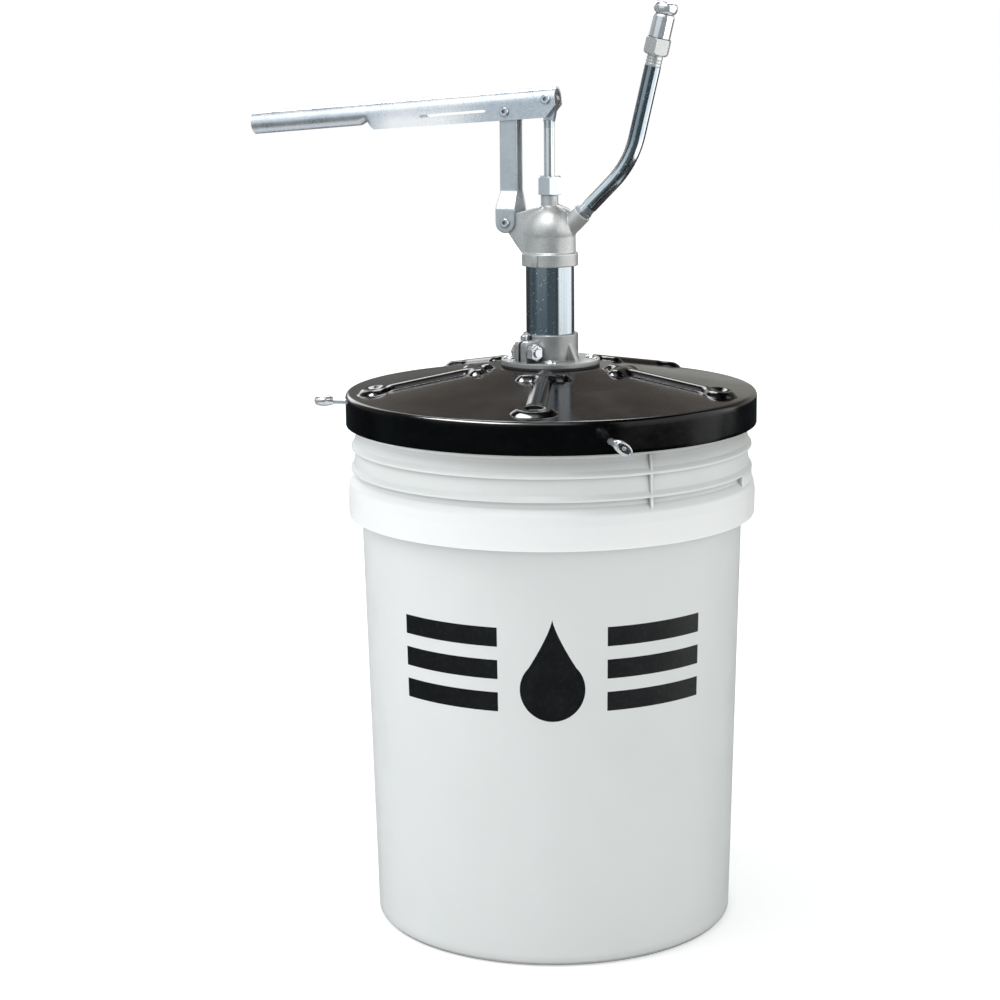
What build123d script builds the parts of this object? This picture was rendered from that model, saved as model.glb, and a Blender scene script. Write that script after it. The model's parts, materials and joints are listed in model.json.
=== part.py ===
from build123d import *
from math import cos, radians, sin, sqrt, tan
import os

os.makedirs("parts", exist_ok=True)

# Lever-action pail pump. Millimetres, +Z up, origin at the centre of the pail's underside.
# The lever lies in the XZ plane with its handle towards -X; the outlet leans towards +X.
# Unless noted, an outline's columns are (radius from the turning axis, height).

# ---------------------------------------------------------------- shared dimensions
gap = 0.05  # play left between touching pieces

# pail and cover
pail_top = 385.4
rim_r = 143.0
hub_z = 407.2  # flat middle of the cover
cover_t = 1.4
cover_screw_angles = (-54.5, 65.5, 185.5)
cover_screw_z = 375.5

# clamp flange
flange_gasket_t = 1.2
disc_low = hub_z + flange_gasket_t
disc_high = disc_low + 3.6
flange_screw_r = 29.3  # radius of the screw circle
flange_screw_angles = (-70.0, 20.0, 110.0, 200.0)

# pump tube and rod
tube_r, tube_bore_r = 17.3, 15.5
tube_low, tube_top = 16.0, 494.0
rod_r = 3.8

# linkage: pin centres in XZ, pin and hole radii
fulcrum_x, fulcrum_z = -31.0, 587.5
rod_pin_z = 596.3
link_pin_x, link_pin_z = -29.6, 509.3
pin_r, rod_pin_r = 2.5, 2.0
hole_r, rod_hole_r = pin_r + gap, rod_pin_r + gap


# ---------------------------------------------------------------- helpers
def save(builder, name):
    builder.part.label = name
    export_step(builder.part, f"parts/{name}.step")


def polar(radius, angle):
    return radius * cos(radians(angle)), radius * sin(radians(angle))


def radial_plane(angle):
    # upright plane through the Z axis: local x is the radius, local y is +Z
    a = radians(angle)
    return Plane(origin=(0, 0, 0), x_dir=(cos(a), sin(a), 0), z_dir=(sin(a), -cos(a), 0))


def facing_plane(angle, radius, z):
    # local z points outwards along the radius, local y is +Z
    a = radians(angle)
    return Plane(
        origin=(*polar(radius, angle), z),
        x_dir=(-sin(a), cos(a), 0),
        z_dir=(cos(a), sin(a), 0),
    )


def across_plane(x, y, z, facing=1):
    # normal along +Y, or along -Y when facing is -1
    return Plane(origin=(x, y, z), x_dir=(1, 0, 0), z_dir=(0, facing, 0))


def turned(outline, plane=Plane.XZ, axis=Axis.Z):
    with BuildPart() as body:
        with BuildSketch(plane):
            with BuildLine():
                Polyline(*outline, close=True)
            make_face()
        revolve(axis=axis)
    return body


def ring(plane, outer_r, inner_r, length):
    with BuildPart() as body:
        with BuildSketch(plane):
            Circle(outer_r)
            Circle(inner_r, mode=Mode.SUBTRACT)
        extrude(amount=length)
    return body


# ---------------------------------------------------------------- pail
pail_base_r = 131.0
pail_floor = 3.0
band_low, band_high = 300.8, 321.0
gusset_angles = (-42.0, 138.0)
ear_angles = (-2.0, 178.0)
ear_arc = 16.0
foot_width, foot_height = 8.0, 1.2

pail_outline = (
    # underside and outer wall
    (0, 0), (pail_base_r - 2, 0), (pail_base_r, 2), (138.0, band_low), (138.4, band_high),
    # band, open at the bottom
    (144.9, band_high), (144.9, band_low), (147.3, band_low), (147.6, 320.5),
    (145.9, 325.5), (141.8, 330.0),
    # two rings
    (141.3, 334.3), (145.2, 334.3), (145.2, 336.4), (144.3, 337.2), (142.2, 346.8),
    (141.4, 350.3), (144.8, 350.3), (144.8, 352.4), (143.9, 353.2), (141.0, 363.2),
    # rim
    (rim_r, 364.4), (rim_r, pail_top - 1.0), (rim_r - 1.0, pail_top), (140.0, pail_top),
    # inner wall and floor
    (139.0, pail_top - 1.0), (138.8, 330.0), (135.4, 300.0), (128.4, 5.0),
    (126.4, pail_floor), (0, pail_floor),
)
gusset_outline = (
    (140.2, 326.0), (145.4, 325.8), (144.9, 334.8), (144.5, 350.8),
    (144.2, 358.0), (142.9, 364.8), (140.2, 364.8),
)
ear_outline = ((140.2, 324.6), (145.3, 324.6), (144.9, 334.9), (140.2, 334.9))

with BuildPart() as pail:
    with BuildSketch(Plane.XZ):
        with BuildLine():
            Polyline(*pail_outline, close=True)
        make_face()
    revolve(axis=Axis.Z)
    # vertical gussets across the rings
    for angle in gusset_angles:
        with BuildSketch(radial_plane(angle)):
            with BuildLine():
                Polyline(*gusset_outline, close=True)
            make_face()
        extrude(amount=1.0, both=True)
    # pads between the band and the lower ring
    for angle in ear_angles:
        with BuildSketch(radial_plane(angle)):
            with BuildLine():
                Polyline(*ear_outline, close=True)
            make_face()
        revolve(axis=Axis.Z, revolution_arc=ear_arc)
    # recess under the floor that leaves a ring to stand on
    with BuildSketch(Plane.XY):
        Circle(pail_base_r - foot_width)
    extrude(amount=foot_height, mode=Mode.SUBTRACT)
save(pail, "pail")

# ---------------------------------------------------------------- cover
cover_r = 148.3
cover_low = 366.5  # lower edge of the skirt
body_low = 360.0  # the raw bodies start below that edge
fold_z = 386.5
hub_r = 42.0
cone_r, cone_z = 145.3, 389.6
rib_first_angle = -75.0
rib_count = 5
rib_height = 3.0
rib_width = 13.0
trim_low, trim_r = 300.0, 200.0


def cover_solid(lift, cut):
    # solid under the outer face (cut=0) or the inner face (cut=cover_t)
    return turned((
        (0, body_low),
        (cover_r - cut, body_low),
        (cover_r - cut, fold_z + lift),
        (cover_r - cut - 0.9, fold_z + 2.2 + lift - cut * 0.6),
        (cone_r - cut * 0.3, cone_z + lift - cut),
        (hub_r, hub_z + lift - cut),
        (0, hub_z + lift - cut),
    )).part


def rib_prism(shrink):
    # dumb-bell footprints: a bar, a slot at its inner end and an ellipse at its outer end
    width = rib_width - 2 * shrink
    with BuildPart() as prism:
        with BuildSketch(Plane.XY.offset(362)):
            for k in range(rib_count):
                turn = rib_first_angle + 360 / rib_count * k
                with Locations(Location((0, 0, 0), (0, 0, turn))):
                    with Locations((87, 0)):
                        Rectangle(82, width)
                    with Locations((56, 0)):
                        SlotOverall(38 - 2 * shrink, width, rotation=90)
                    with Locations((129.5, 0)):
                        Ellipse(10.8 - shrink, 15.4 - shrink)
        extrude(amount=60)
    return prism.part


outer_low = cover_solid(0, 0)
outer_high = cover_solid(rib_height, 0) & rib_prism(0)
inner_low = cover_solid(0, cover_t)
inner_high = cover_solid(rib_height, cover_t) & rib_prism(cover_t)

with BuildPart() as cover:
    add(outer_low)
    add(outer_high)
    add(inner_low, mode=Mode.SUBTRACT)
    add(inner_high, mode=Mode.SUBTRACT)
    # trim to the skirt's lower edge
    with Locations((0, 0, (trim_low + cover_low) / 2)):
        Cylinder(trim_r, cover_low - trim_low, mode=Mode.SUBTRACT)
    # tube opening, flange screw holes and skirt screw holes
    with Locations((0, 0, 400)):
        Cylinder(20.0, 40, mode=Mode.SUBTRACT)
    for angle in flange_screw_angles:
        with Locations((*polar(flange_screw_r, angle), 405)):
            Cylinder(2.4, 12, mode=Mode.SUBTRACT)
    for angle in cover_screw_angles:
        with BuildSketch(facing_plane(angle, 140, cover_screw_z)):
            Circle(2.7)
        extrude(amount=14, mode=Mode.SUBTRACT)
save(cover, "cover")

# rubber ring between the cover and the pail rim
cover_gasket_outline = (
    (139.4, pail_top + gap), (144.6, pail_top + gap), (144.6, 387.9), (139.4, 388.9),
)
save(turned(cover_gasket_outline), "cover_gasket")

# hexagon nuts welded inside the skirt
with BuildPart() as weld_nuts:
    for angle in cover_screw_angles:
        with BuildSketch(facing_plane(angle, rim_r + 0.4, cover_screw_z)):
            RegularPolygon(5.6, 6)
            Circle(2.5, mode=Mode.SUBTRACT)
        extrude(amount=3.3)
save(weld_nuts, "weld_nuts")

# ---------------------------------------------------------------- thumbscrews
thumb_rolls = (-37.0, 20.0, 10.0)  # turn of each screw about its own axis
thumb_shank_r, thumb_shank_length = 2.42, 24.6
# (radius from the pail's axis, half width, half thickness) of the oval thumb piece
thumb_sections = (
    (166.6, 2.7, 2.6),
    (168.8, 5.0, 3.3),
    (172.2, 7.0, 4.0),
    (176.6, 7.2, 4.1),
    (179.6, 6.2, 3.4),
)
# same columns, for the hollow in its outer end
thumb_recess = ((174.2, 3.4, 1.6), (176.6, 4.8, 2.3), (180.6, 5.2, 2.5))


def thumb_plane(angle, roll, radius):
    a, q = radians(angle), radians(roll)
    out = Vector(cos(a), sin(a), 0)
    side = Vector(-sin(a), cos(a), 0) * cos(q) + Vector(0, 0, 1) * sin(q)
    return Plane(origin=Vector(0, 0, cover_screw_z) + out * radius, x_dir=side, z_dir=out)


def thumbscrew(angle, roll):
    with BuildPart() as thumb:
        for sections, mode in ((thumb_sections, Mode.ADD), (thumb_recess, Mode.SUBTRACT)):
            for radius, half_width, half_thickness in sections:
                with BuildSketch(thumb_plane(angle, roll, radius)):
                    Ellipse(half_width, half_thickness)
            loft(mode=mode)
        # end of the screw standing in the hollow
        with BuildSketch(thumb_plane(angle, roll, 173.0)):
            Circle(1.5)
        extrude(amount=5.6)
        with BuildSketch(thumb_plane(angle, roll, rim_r + 0.06)):
            Circle(thumb_shank_r)
        extrude(amount=thumb_shank_length)
    return thumb


for letter, angle, roll in zip("abc", cover_screw_angles, thumb_rolls):
    save(thumbscrew(angle, roll), "thumbscrew_" + letter)

# ---------------------------------------------------------------- clamp flange
disc_r = 35.6
collar_r, collar_top = 20.0, 430.5
lug_angle = -116.0
lug_plane = radial_plane(lug_angle)
lug_near, lug_far = 7.1, 5.2  # lug faces on the -normal and +normal side of lug_plane
lug_top = 427.0
slit_half, slit_top = 1.1, 440.0
clamp_bolt_r, clamp_bolt_z = 25.6, 419.0  # place of the bolt in lug_plane
clamp_hole_r = 3.05
flange_rib_angles = (-25.0, 65.0, 155.0)
rib_low = disc_high - 0.5  # lugs and ribs start inside the disc

lug_outline = (
    (14, rib_low), (31, rib_low), (31, 424.0), (30.1, 426.1), (28, lug_top), (14, lug_top),
)
flange_rib_outline = (
    (18.6, rib_low), (27.2, rib_low), (27.0, disc_high + 0.4), (20.0, 424.0), (18.6, 424.0),
)

with BuildPart() as flange:
    with BuildSketch(Plane.XY.offset(disc_low)):
        Circle(disc_r)
    extrude(amount=disc_high - disc_low)
    with BuildSketch(Plane.XY.offset(disc_high)):
        Circle(collar_r)
    extrude(amount=collar_top - disc_high)
    # clamp lugs
    for reach in (lug_far, -lug_near):
        with BuildSketch(lug_plane):
            with BuildLine():
                Polyline(*lug_outline, close=True)
            make_face()
        extrude(amount=reach)
    # gusset ribs
    for angle in flange_rib_angles:
        with BuildSketch(radial_plane(angle)):
            with BuildLine():
                Polyline(*flange_rib_outline, close=True)
            make_face()
        extrude(amount=1.5, both=True)
    # bore
    with Locations((0, 0, 420)):
        Cylinder(tube_r + 0.08, 40, mode=Mode.SUBTRACT)
    # slit between the lugs
    with BuildSketch(lug_plane):
        with Locations((25, (disc_high + slit_top) / 2)):
            Rectangle(20, slit_top - disc_high)
    extrude(amount=slit_half, both=True, mode=Mode.SUBTRACT)
    # clamp bolt hole
    with BuildSketch(lug_plane):
        with Locations((clamp_bolt_r, clamp_bolt_z)):
            Circle(clamp_hole_r)
    extrude(amount=12, both=True, mode=Mode.SUBTRACT)
    for angle in flange_screw_angles:
        with Locations((*polar(flange_screw_r, angle), 410)):
            Cylinder(2.35, 12, mode=Mode.SUBTRACT)
save(flange, "flange")

with BuildPart() as flange_gasket:
    with BuildSketch(Plane.XY.offset(hub_z + gap)):
        Circle(35.4)
        Circle(19.0, mode=Mode.SUBTRACT)
        for angle in flange_screw_angles:
            with Locations(polar(flange_screw_r, angle)):
                Circle(2.5, mode=Mode.SUBTRACT)
    extrude(amount=flange_gasket_t - 2 * gap)
save(flange_gasket, "flange_gasket")

# slotted dome-head screws through the flange and the cover
screw_low = 399.5
dome_head_r, dome_head_edge, dome_head_height = 4.3, 0.5, 2.6
with BuildPart() as flange_screws:
    for angle in flange_screw_angles:
        x, y = polar(flange_screw_r, angle)
        with BuildSketch(Plane.XY.offset(screw_low)):
            with Locations((x, y)):
                Circle(2.2)
        extrude(amount=disc_high - screw_low + 0.2)
        with BuildSketch(across_plane(x, y, disc_high + 0.02, facing=-1)):
            with BuildLine():
                Polyline(
                    (0, dome_head_height), (0, 0), (dome_head_r, 0), (dome_head_r, dome_head_edge)
                )
                ThreePointArc(
                    (dome_head_r, dome_head_edge), (2.7, 2.1), (0, dome_head_height)
                )
            make_face()
        revolve(axis=Axis((x, y, 0), (0, 0, 1)))
        with Locations((x, y, disc_high + 2.5)):
            Box(5.6, 0.9, 1.6, rotation=(0, 0, angle + 35), mode=Mode.SUBTRACT)
save(flange_screws, "flange_screws")

with BuildPart() as flange_nuts:
    for angle in flange_screw_angles:
        with BuildSketch(Plane.XY.offset(hub_z - cover_t - 3.3)):
            with Locations(polar(flange_screw_r, angle)):
                RegularPolygon(4.4, 6)
                Circle(2.25, mode=Mode.SUBTRACT)
        extrude(amount=3.2)
save(flange_nuts, "flange_nuts")


# ---------------------------------------------------------------- clamp bolt
# head on the -X side of the slit, washer and nut on the +X side
def bolt_plane(offset):
    # square to the bolt, offset along the normal of lug_plane
    centre = lug_plane.x_dir * clamp_bolt_r + Vector(0, 0, clamp_bolt_z)
    return Plane(
        origin=centre + lug_plane.z_dir * offset, x_dir=lug_plane.x_dir, z_dir=lug_plane.z_dir
    )


with BuildPart() as clamp_bolt:
    with BuildSketch(bolt_plane(lug_far + gap)):
        Circle(2.95)
    extrude(amount=-lug_far - lug_near - 7.4)
    with BuildSketch(bolt_plane(lug_far + gap)):
        RegularPolygon(5.4, 6)
    extrude(amount=3.6)
save(clamp_bolt, "clamp_bolt")

save(ring(bolt_plane(-lug_near - 0.03), 6.0, clamp_hole_r, -1.0), "clamp_washer")

with BuildPart() as clamp_nut:
    with BuildSketch(bolt_plane(-lug_near - 1.06)):
        RegularPolygon(6.3, 6, rotation=30)
    extrude(amount=-4.8)
    outer_face = clamp_nut.faces().sort_by(Axis(lug_plane.origin, lug_plane.z_dir))[0]
    chamfer(outer_face.edges(), 0.6)
    with BuildSketch(bolt_plane(-lug_near)):
        Circle(3.0)
    extrude(amount=-8, mode=Mode.SUBTRACT)
save(clamp_nut, "clamp_nut")

# small slotted screw head standing on the lug at the +X side
lug_screw_xy = lug_plane.x_dir * 22.9 - Vector(-sin(radians(lug_angle)), cos(radians(lug_angle))) * 3.0
lug_screw_x, lug_screw_y = lug_screw_xy.X, lug_screw_xy.Y
lug_screw_x = 22.9 * cos(radians(lug_angle)) + 3.0 * sin(radians(lug_angle))
lug_screw_y = 22.9 * sin(radians(lug_angle)) - 3.0 * cos(radians(lug_angle))
with BuildPart() as lug_screw:
    with BuildSketch(Plane.XY.offset(lug_top + 0.04)):
        with Locations((lug_screw_x, lug_screw_y)):
            Circle(2.9)
    extrude(amount=3.4)
    chamfer(lug_screw.faces().sort_by(Axis.Z)[-1].edges(), 0.5)
    with Locations((lug_screw_x, lug_screw_y, lug_top + 3.4)):
        Box(8, 0.8, 1.6, rotation=(0, 0, 20), mode=Mode.SUBTRACT)
save(lug_screw, "lug_screw")

# ---------------------------------------------------------------- pump tube
save(ring(Plane.XY.offset(tube_low), tube_r, tube_bore_r, tube_top - tube_low), "pump_tube")

# ---------------------------------------------------------------- head casting
head_low, head_collar = 478.9, 488.3
head_r, head_collar_r = 18.6, 20.2
dome_low = 500.0
dome_r, dome_z = 18.8, 503.5  # radius and centre height of the dome
neck_r, neck_thread_r, neck_top = 6.2, 5.9, 538.0
bracket_half = 10.6
packing_low, packing_bore_r = 517.0, 5.05
boss_r, boss_depth = 7.0, 24.0

# outlet boss: centre of its mouth, and its direction 45 degrees up towards +X
boss_angle = 45
boss_dir = Vector(cos(radians(boss_angle)), 0, sin(radians(boss_angle)))
boss_mouth = Vector(24.5, 0, 516.5)


def boss_plane(distance):
    # square to the boss axis, distance measured outwards from the mouth
    return Plane(origin=boss_mouth + boss_dir * distance, x_dir=(0, 1, 0), z_dir=boss_dir)


dome_start = (sqrt(dome_r**2 - (dome_low - dome_z) ** 2), dome_low)
dome_mid = (dome_r * cos(radians(35)), dome_z + dome_r * sin(radians(35)))
dome_end = (neck_r, dome_z + sqrt(dome_r**2 - neck_r**2))

# (x, z) outlines
bracket_outline = (
    (-4, 521.0), (-8, 520.4), (-22.0, 516.2),
    (link_pin_x + 1.6, link_pin_z + 6.6), (link_pin_x - 6.0, link_pin_z - 3.0),
    (-28.0, 502.4), (-22.6, 494.6), (-18.0, 488.6), (-4, 490.0),
)
boss_web_outline = ((3, 522.6), (6.6, 522.4), (19.2, 517.6), (19, 508), (3, 508))
# tube socket, chamber, rod hole and packing bore
head_bore_outline = (
    (0, head_low - 1), (tube_r + 0.04, head_low - 1), (tube_r + 0.04, 495.6),
    (14.0, 495.6), (14.0, 499.5), (rod_r + 0.07, 511.0), (rod_r + 0.07, packing_low),
    (packing_bore_r, packing_low), (packing_bore_r, neck_top + 1), (0, neck_top + 1),
)
# (start along the boss axis, radius, length) of passage, ball chamber and fitting thread
boss_bores = ((-25, 2.8, 20), (-15, 4.2, 10), (-7, 5.25, 8))

with BuildPart() as head:
    with BuildSketch(Plane.XZ):
        with BuildLine():
            Polyline(
                (0, head_low),
                (head_collar_r, head_low),
                (head_collar_r, head_collar - 0.6),
                (19.7, head_collar),
                (head_r, head_collar + 0.3),
                dome_start,
            )
            ThreePointArc(dome_start, dome_mid, dome_end)
            Polyline(
                dome_end,
                (neck_r, 529.0),
                (neck_thread_r, 529.3),
                (neck_thread_r, neck_top),
                (0, neck_top),
                (0, head_low),
            )
        make_face()
    revolve(axis=Axis.Z)
    # bracket that carries the link pin
    with BuildSketch(Plane.XZ):
        with BuildLine():
            Polyline(*bracket_outline, close=True)
        make_face()
        with Locations((link_pin_x, link_pin_z)):
            Circle(6.7)
    extrude(amount=bracket_half, both=True)
    # outlet boss
    with BuildSketch(boss_plane(-boss_depth)):
        Circle(boss_r)
    extrude(amount=boss_depth)
    # web between the neck and the boss
    with BuildSketch(Plane.XZ):
        with BuildLine():
            Polyline(*boss_web_outline, close=True)
        make_face()
    extrude(amount=2.2, both=True)
    # cast pad on the collar
    with BuildSketch(facing_plane(-106.0, 17.4, 483.4)):
        Rectangle(5.2, 8.6)
    extrude(amount=3.6)
    with BuildSketch(Plane.XZ):
        with BuildLine():
            Polyline(*head_bore_outline, close=True)
        make_face()
    revolve(axis=Axis.Z, mode=Mode.SUBTRACT)
    for start, bore_r, length in boss_bores:
        with BuildSketch(boss_plane(start)):
            Circle(bore_r)
        extrude(amount=length, mode=Mode.SUBTRACT)
    # link pin hole
    with BuildSketch(Plane.XZ):
        with Locations((link_pin_x, link_pin_z)):
            Circle(hole_r)
    extrude(amount=30, both=True, mode=Mode.SUBTRACT)
save(head, "head")

head_gasket = ring(Plane.XY.offset(tube_top + gap), tube_r - gap, tube_bore_r - 0.6, 1.45)
save(head_gasket, "head_gasket")

# ---------------------------------------------------------------- packing
packing_count, packing_pitch, packing_t = 4, 3.2, 3.0
sleeve_low, sleeve_top = 529.9, 538.4
nut_low, nut_top = 529.4, 542.2

with BuildPart() as packing_rings:
    for k in range(packing_count):
        with BuildSketch(Plane.XY.offset(packing_low + gap + packing_pitch * k)):
            Circle(packing_bore_r - gap)
            Circle(rod_r + gap, mode=Mode.SUBTRACT)
        extrude(amount=packing_t)
save(packing_rings, "packing_rings")

packing_sleeve = ring(
    Plane.XY.offset(sleeve_low), packing_bore_r - 0.07, rod_r + 0.07, sleeve_top - sleeve_low
)
save(packing_sleeve, "packing_sleeve")

# turned outline that rounds off the hexagon's corners
packing_nut_outline = (
    (0, nut_low), (8.2, nut_low), (9.3, 530.2), (9.3, 541.2), (8.0, nut_top), (0, nut_top),
)
with BuildPart() as packing_nut:
    with BuildSketch(Plane.XY.offset(nut_low)):
        RegularPolygon(9.1, 6, rotation=-10)
    extrude(amount=nut_top - nut_low)
    with BuildSketch(Plane.XZ):
        with BuildLine():
            Polyline(*packing_nut_outline, close=True)
        make_face()
    revolve(axis=Axis.Z, mode=Mode.INTERSECT)
    # neck thread, then the rod hole through the top
    with Locations((0, 0, nut_low)):
        Cylinder(
            neck_thread_r + 0.06,
            9.1,
            align=(Align.CENTER, Align.CENTER, Align.MIN),
            mode=Mode.SUBTRACT,
        )
    with Locations((0, 0, 540)):
        Cylinder(rod_r + 0.08, 10, mode=Mode.SUBTRACT)
save(packing_nut, "packing_nut")

# ---------------------------------------------------------------- outlet valve and fitting
outlet_seat_start, outlet_seat_t, outlet_seat_r = -14.95, 1.4, 2.6
outlet_ball_r = 3.6
fitting_thread_r, fitting_thread_length = 5.2, 6.9

# hard ring the ball closes on
outlet_seat = ring(boss_plane(outlet_seat_start), 4.15, outlet_seat_r, outlet_seat_t)
save(outlet_seat, "outlet_seat")

ball_distance = (
    outlet_seat_start + outlet_seat_t + sqrt(outlet_ball_r**2 - outlet_seat_r**2) + 0.02
)
with BuildPart() as outlet_ball:
    with Locations(Location(boss_mouth + boss_dir * ball_distance)):
        Sphere(outlet_ball_r)
save(outlet_ball, "outlet_ball")

with BuildPart() as outlet_fitting:
    # thread, hexagon, core that joins them, tapered collar
    with BuildSketch(boss_plane(-fitting_thread_length)):
        Circle(fitting_thread_r)
    extrude(amount=fitting_thread_length)
    with BuildSketch(boss_plane(0.03)):
        RegularPolygon(6.5, 6)
    extrude(amount=2.6)
    with BuildSketch(boss_plane(0)):
        Circle(fitting_thread_r)
    extrude(amount=0.5)
    with BuildSketch(boss_plane(2.6)):
        Circle(5.7)
    extrude(amount=5.0, taper=3)
    # through bore and socket for the tube
    with BuildSketch(boss_plane(-8)):
        Circle(3.2)
    extrude(amount=20, mode=Mode.SUBTRACT)
    with BuildSketch(boss_plane(1.0)):
        Circle(4.81)
    extrude(amount=12, mode=Mode.SUBTRACT)
save(outlet_fitting, "outlet_fitting")

# ---------------------------------------------------------------- outlet tube
upper_lean = 13.3  # lean of the upper leg from +Z towards +X
upper_dir = Vector(sin(radians(upper_lean)), 0, cos(radians(upper_lean)))
corner = boss_mouth + boss_dir * 51.76  # where the axes of the two legs meet
bend_r = 70.0
tangent_length = bend_r * tan(radians((boss_angle - upper_lean) / 2))
bend_start = corner - boss_dir * tangent_length
bend_end = corner + upper_dir * tangent_length
# the bend's centre lies on its upper left
bend_centre = bend_start + Vector(-boss_dir.Z, 0, boss_dir.X) * bend_r
bend_mid = bend_centre + (corner - bend_centre).normalized() * bend_r

# (start beyond the boss mouth, end beyond the corner, outer radius, inner radius):
# reduced size over the whole length, then full size between the reduced ends
outlet_layers = ((1.05, 78.0, 4.76, 3.7), (7.75, 67.5, 5.8, 4.2))

with BuildPart() as outlet_tube:
    for start_distance, end_distance, outer_r, inner_r in outlet_layers:
        start = boss_mouth + boss_dir * start_distance
        with BuildLine():
            Line(start, bend_start)
            ThreePointArc(bend_start, bend_mid, bend_end)
            Line(bend_end, corner + upper_dir * end_distance)
        with BuildSketch(Plane(origin=start, x_dir=(0, 1, 0), z_dir=boss_dir)):
            Circle(outer_r)
            Circle(inner_r, mode=Mode.SUBTRACT)
        sweep()
save(outlet_tube, "outlet_tube")

# ---------------------------------------------------------------- coupler
# outlines here are (radius, distance beyond the corner along the upper leg)
coupler_axis = Axis(corner, upper_dir)
coupler_side = Plane(
    origin=corner, x_dir=(upper_dir.Z, 0, -upper_dir.X), z_dir=(0, -1, 0)
)
coupler_nut_low, coupler_nut_high = 75.4, 87.2

ferrule_outline = (
    (4.82, 67.6), (5.5, 67.6), (5.7, 68.2), (5.7, 69.6), (5.3, 70.0), (5.7, 70.4),
    (5.7, 71.8), (5.3, 72.2), (5.7, 72.6), (5.7, 74.2), (5.5, 74.6), (5.5, 79.0),
    (4.82, 79.0),
)
coupler_nut_outline = (
    (0, coupler_nut_low), (7.2, coupler_nut_low), (9.6, 77.4), (9.6, 86.2),
    (8.6, coupler_nut_high), (0, coupler_nut_high),
)
coupler_body_outline = (
    (3.4, 79.4), (5.5, 79.4), (5.5, 87.25), (7.4, 87.25), (7.7, 87.9), (7.7, 101.6),
    (7.2, 103.4), (6.3, 104.2), (6.3, 110.6), (5.2, 110.6), (5.2, 96.0), (3.4, 94.0),
)


def upper_plane(distance):
    return Plane(origin=corner + upper_dir * distance, x_dir=(0, 1, 0), z_dir=upper_dir)


save(turned(ferrule_outline, coupler_side, coupler_axis), "coupler_ferrule")

with BuildPart() as coupler_nut:
    with BuildSketch(upper_plane(coupler_nut_low)):
        RegularPolygon(9.5, 6, rotation=10)
    extrude(amount=coupler_nut_high - coupler_nut_low)
    with BuildSketch(coupler_side):
        with BuildLine():
            Polyline(*coupler_nut_outline, close=True)
        make_face()
    revolve(axis=coupler_axis, mode=Mode.INTERSECT)
    with BuildSketch(upper_plane(70)):
        Circle(5.56)
    extrude(amount=30, mode=Mode.SUBTRACT)
save(coupler_nut, "coupler_nut")

save(turned(coupler_body_outline, coupler_side, coupler_axis), "coupler_body")

with BuildPart() as coupler_lip:
    with BuildSketch(coupler_side):
        with BuildLine():
            Polyline((6.36, 104.4), (6.9, 104.4))
            ThreePointArc((6.9, 104.4), (8.3, 107.6), (7.6, 110.9))
            Polyline(
                (7.6, 110.9), (6.9, 111.6), (6.0, 111.6), (5.4, 110.7), (6.36, 110.7),
                (6.36, 104.4),
            )
        make_face()
    revolve(axis=coupler_axis)
save(coupler_lip, "coupler_lip")

# ---------------------------------------------------------------- link
link_half = 12.4  # half width over the wide lower end
link_upper_half = 6.2
link_wall = 1.6
web_low, web_high = 532.0, 590.0

# (distance from the XZ plane, z) of one joggled flange
link_flange_outline = (
    (link_upper_half - link_wall, 596), (link_upper_half, 596),
    (link_upper_half, 531.6), (link_half, 519.4), (link_half, 500),
    (link_half - link_wall, 500), (link_half - link_wall, 518.9),
    (link_upper_half - link_wall, 531.1),
)
# (x, z) of the link seen from the side
link_side_outline = (
    (-35.5, 590.0), (-33.4, 593.4), (-24.6, 593.4), (-22.4, 590.0),
    (-22.4, link_pin_z), (-36.8, link_pin_z), (-36.8, 522.0), (-35.5, 530.0),
)

with BuildPart() as link:
    # flanges drawn across the link and pulled along X
    with BuildSketch(Plane.YZ.offset(-40)):
        for side in (1, -1):
            with BuildLine():
                Polyline(*[(side * y, z) for y, z in link_flange_outline], close=True)
            make_face()
    extrude(amount=20)
    with BuildSketch(Plane.XZ):
        with BuildLine():
            Polyline(*link_side_outline, close=True)
        make_face()
        with Locations((link_pin_x, link_pin_z)):
            Circle(7.2)
    extrude(amount=20, both=True, mode=Mode.INTERSECT)
    # web on the handle side
    with BuildSketch(Plane.XY.offset(web_low)):
        with Locations((-34.7, 0)):
            Rectangle(link_wall, 2 * link_upper_half)
    extrude(amount=web_high - web_low)
    with BuildSketch(Plane.XZ):
        with Locations((link_pin_x, link_pin_z), (fulcrum_x, fulcrum_z)):
            Circle(hole_r)
    extrude(amount=20, both=True, mode=Mode.SUBTRACT)
save(link, "link")

# ---------------------------------------------------------------- lever
lever_slope = radians(4.5)
lever_dir = Vector(cos(lever_slope), 0, sin(lever_slope))  # from the handle to the rod end
fulcrum = Vector(fulcrum_x, 0, fulcrum_z)
# local x runs along lever_dir, local y is up across the lever
lever_side = Plane(origin=fulcrum, x_dir=lever_dir, z_dir=(0, -1, 0))

channel_half, channel_wall = 7.8, 1.3
channel_inner = channel_half - channel_wall
cheek_height = 15.0
crown_up = 6.7  # axis of the rounded crown and of the handle, above the fulcrum
handle_r = 8.0
# distances along the lever from the fulcrum
rod_end, shoulder, handle_tip = 38.3, -110.5, -200.8
handle_start = shoulder + 4

# (along the lever, up across it)
lever_outline = (
    (rod_end + 1, 20), (rod_end + 1, 2.9), (rod_end, 1.8), (30.4, -6.4),
    (-102.5, -4.95), (-107.5, -3.4), (shoulder, 1.0), (shoulder, 20),
)


def lever_cross(along):
    # local x is world -Y, local y is up across the lever; faces the handle
    return Plane(origin=fulcrum + lever_dir * along, x_dir=(0, -1, 0), z_dir=-lever_dir)


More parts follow.
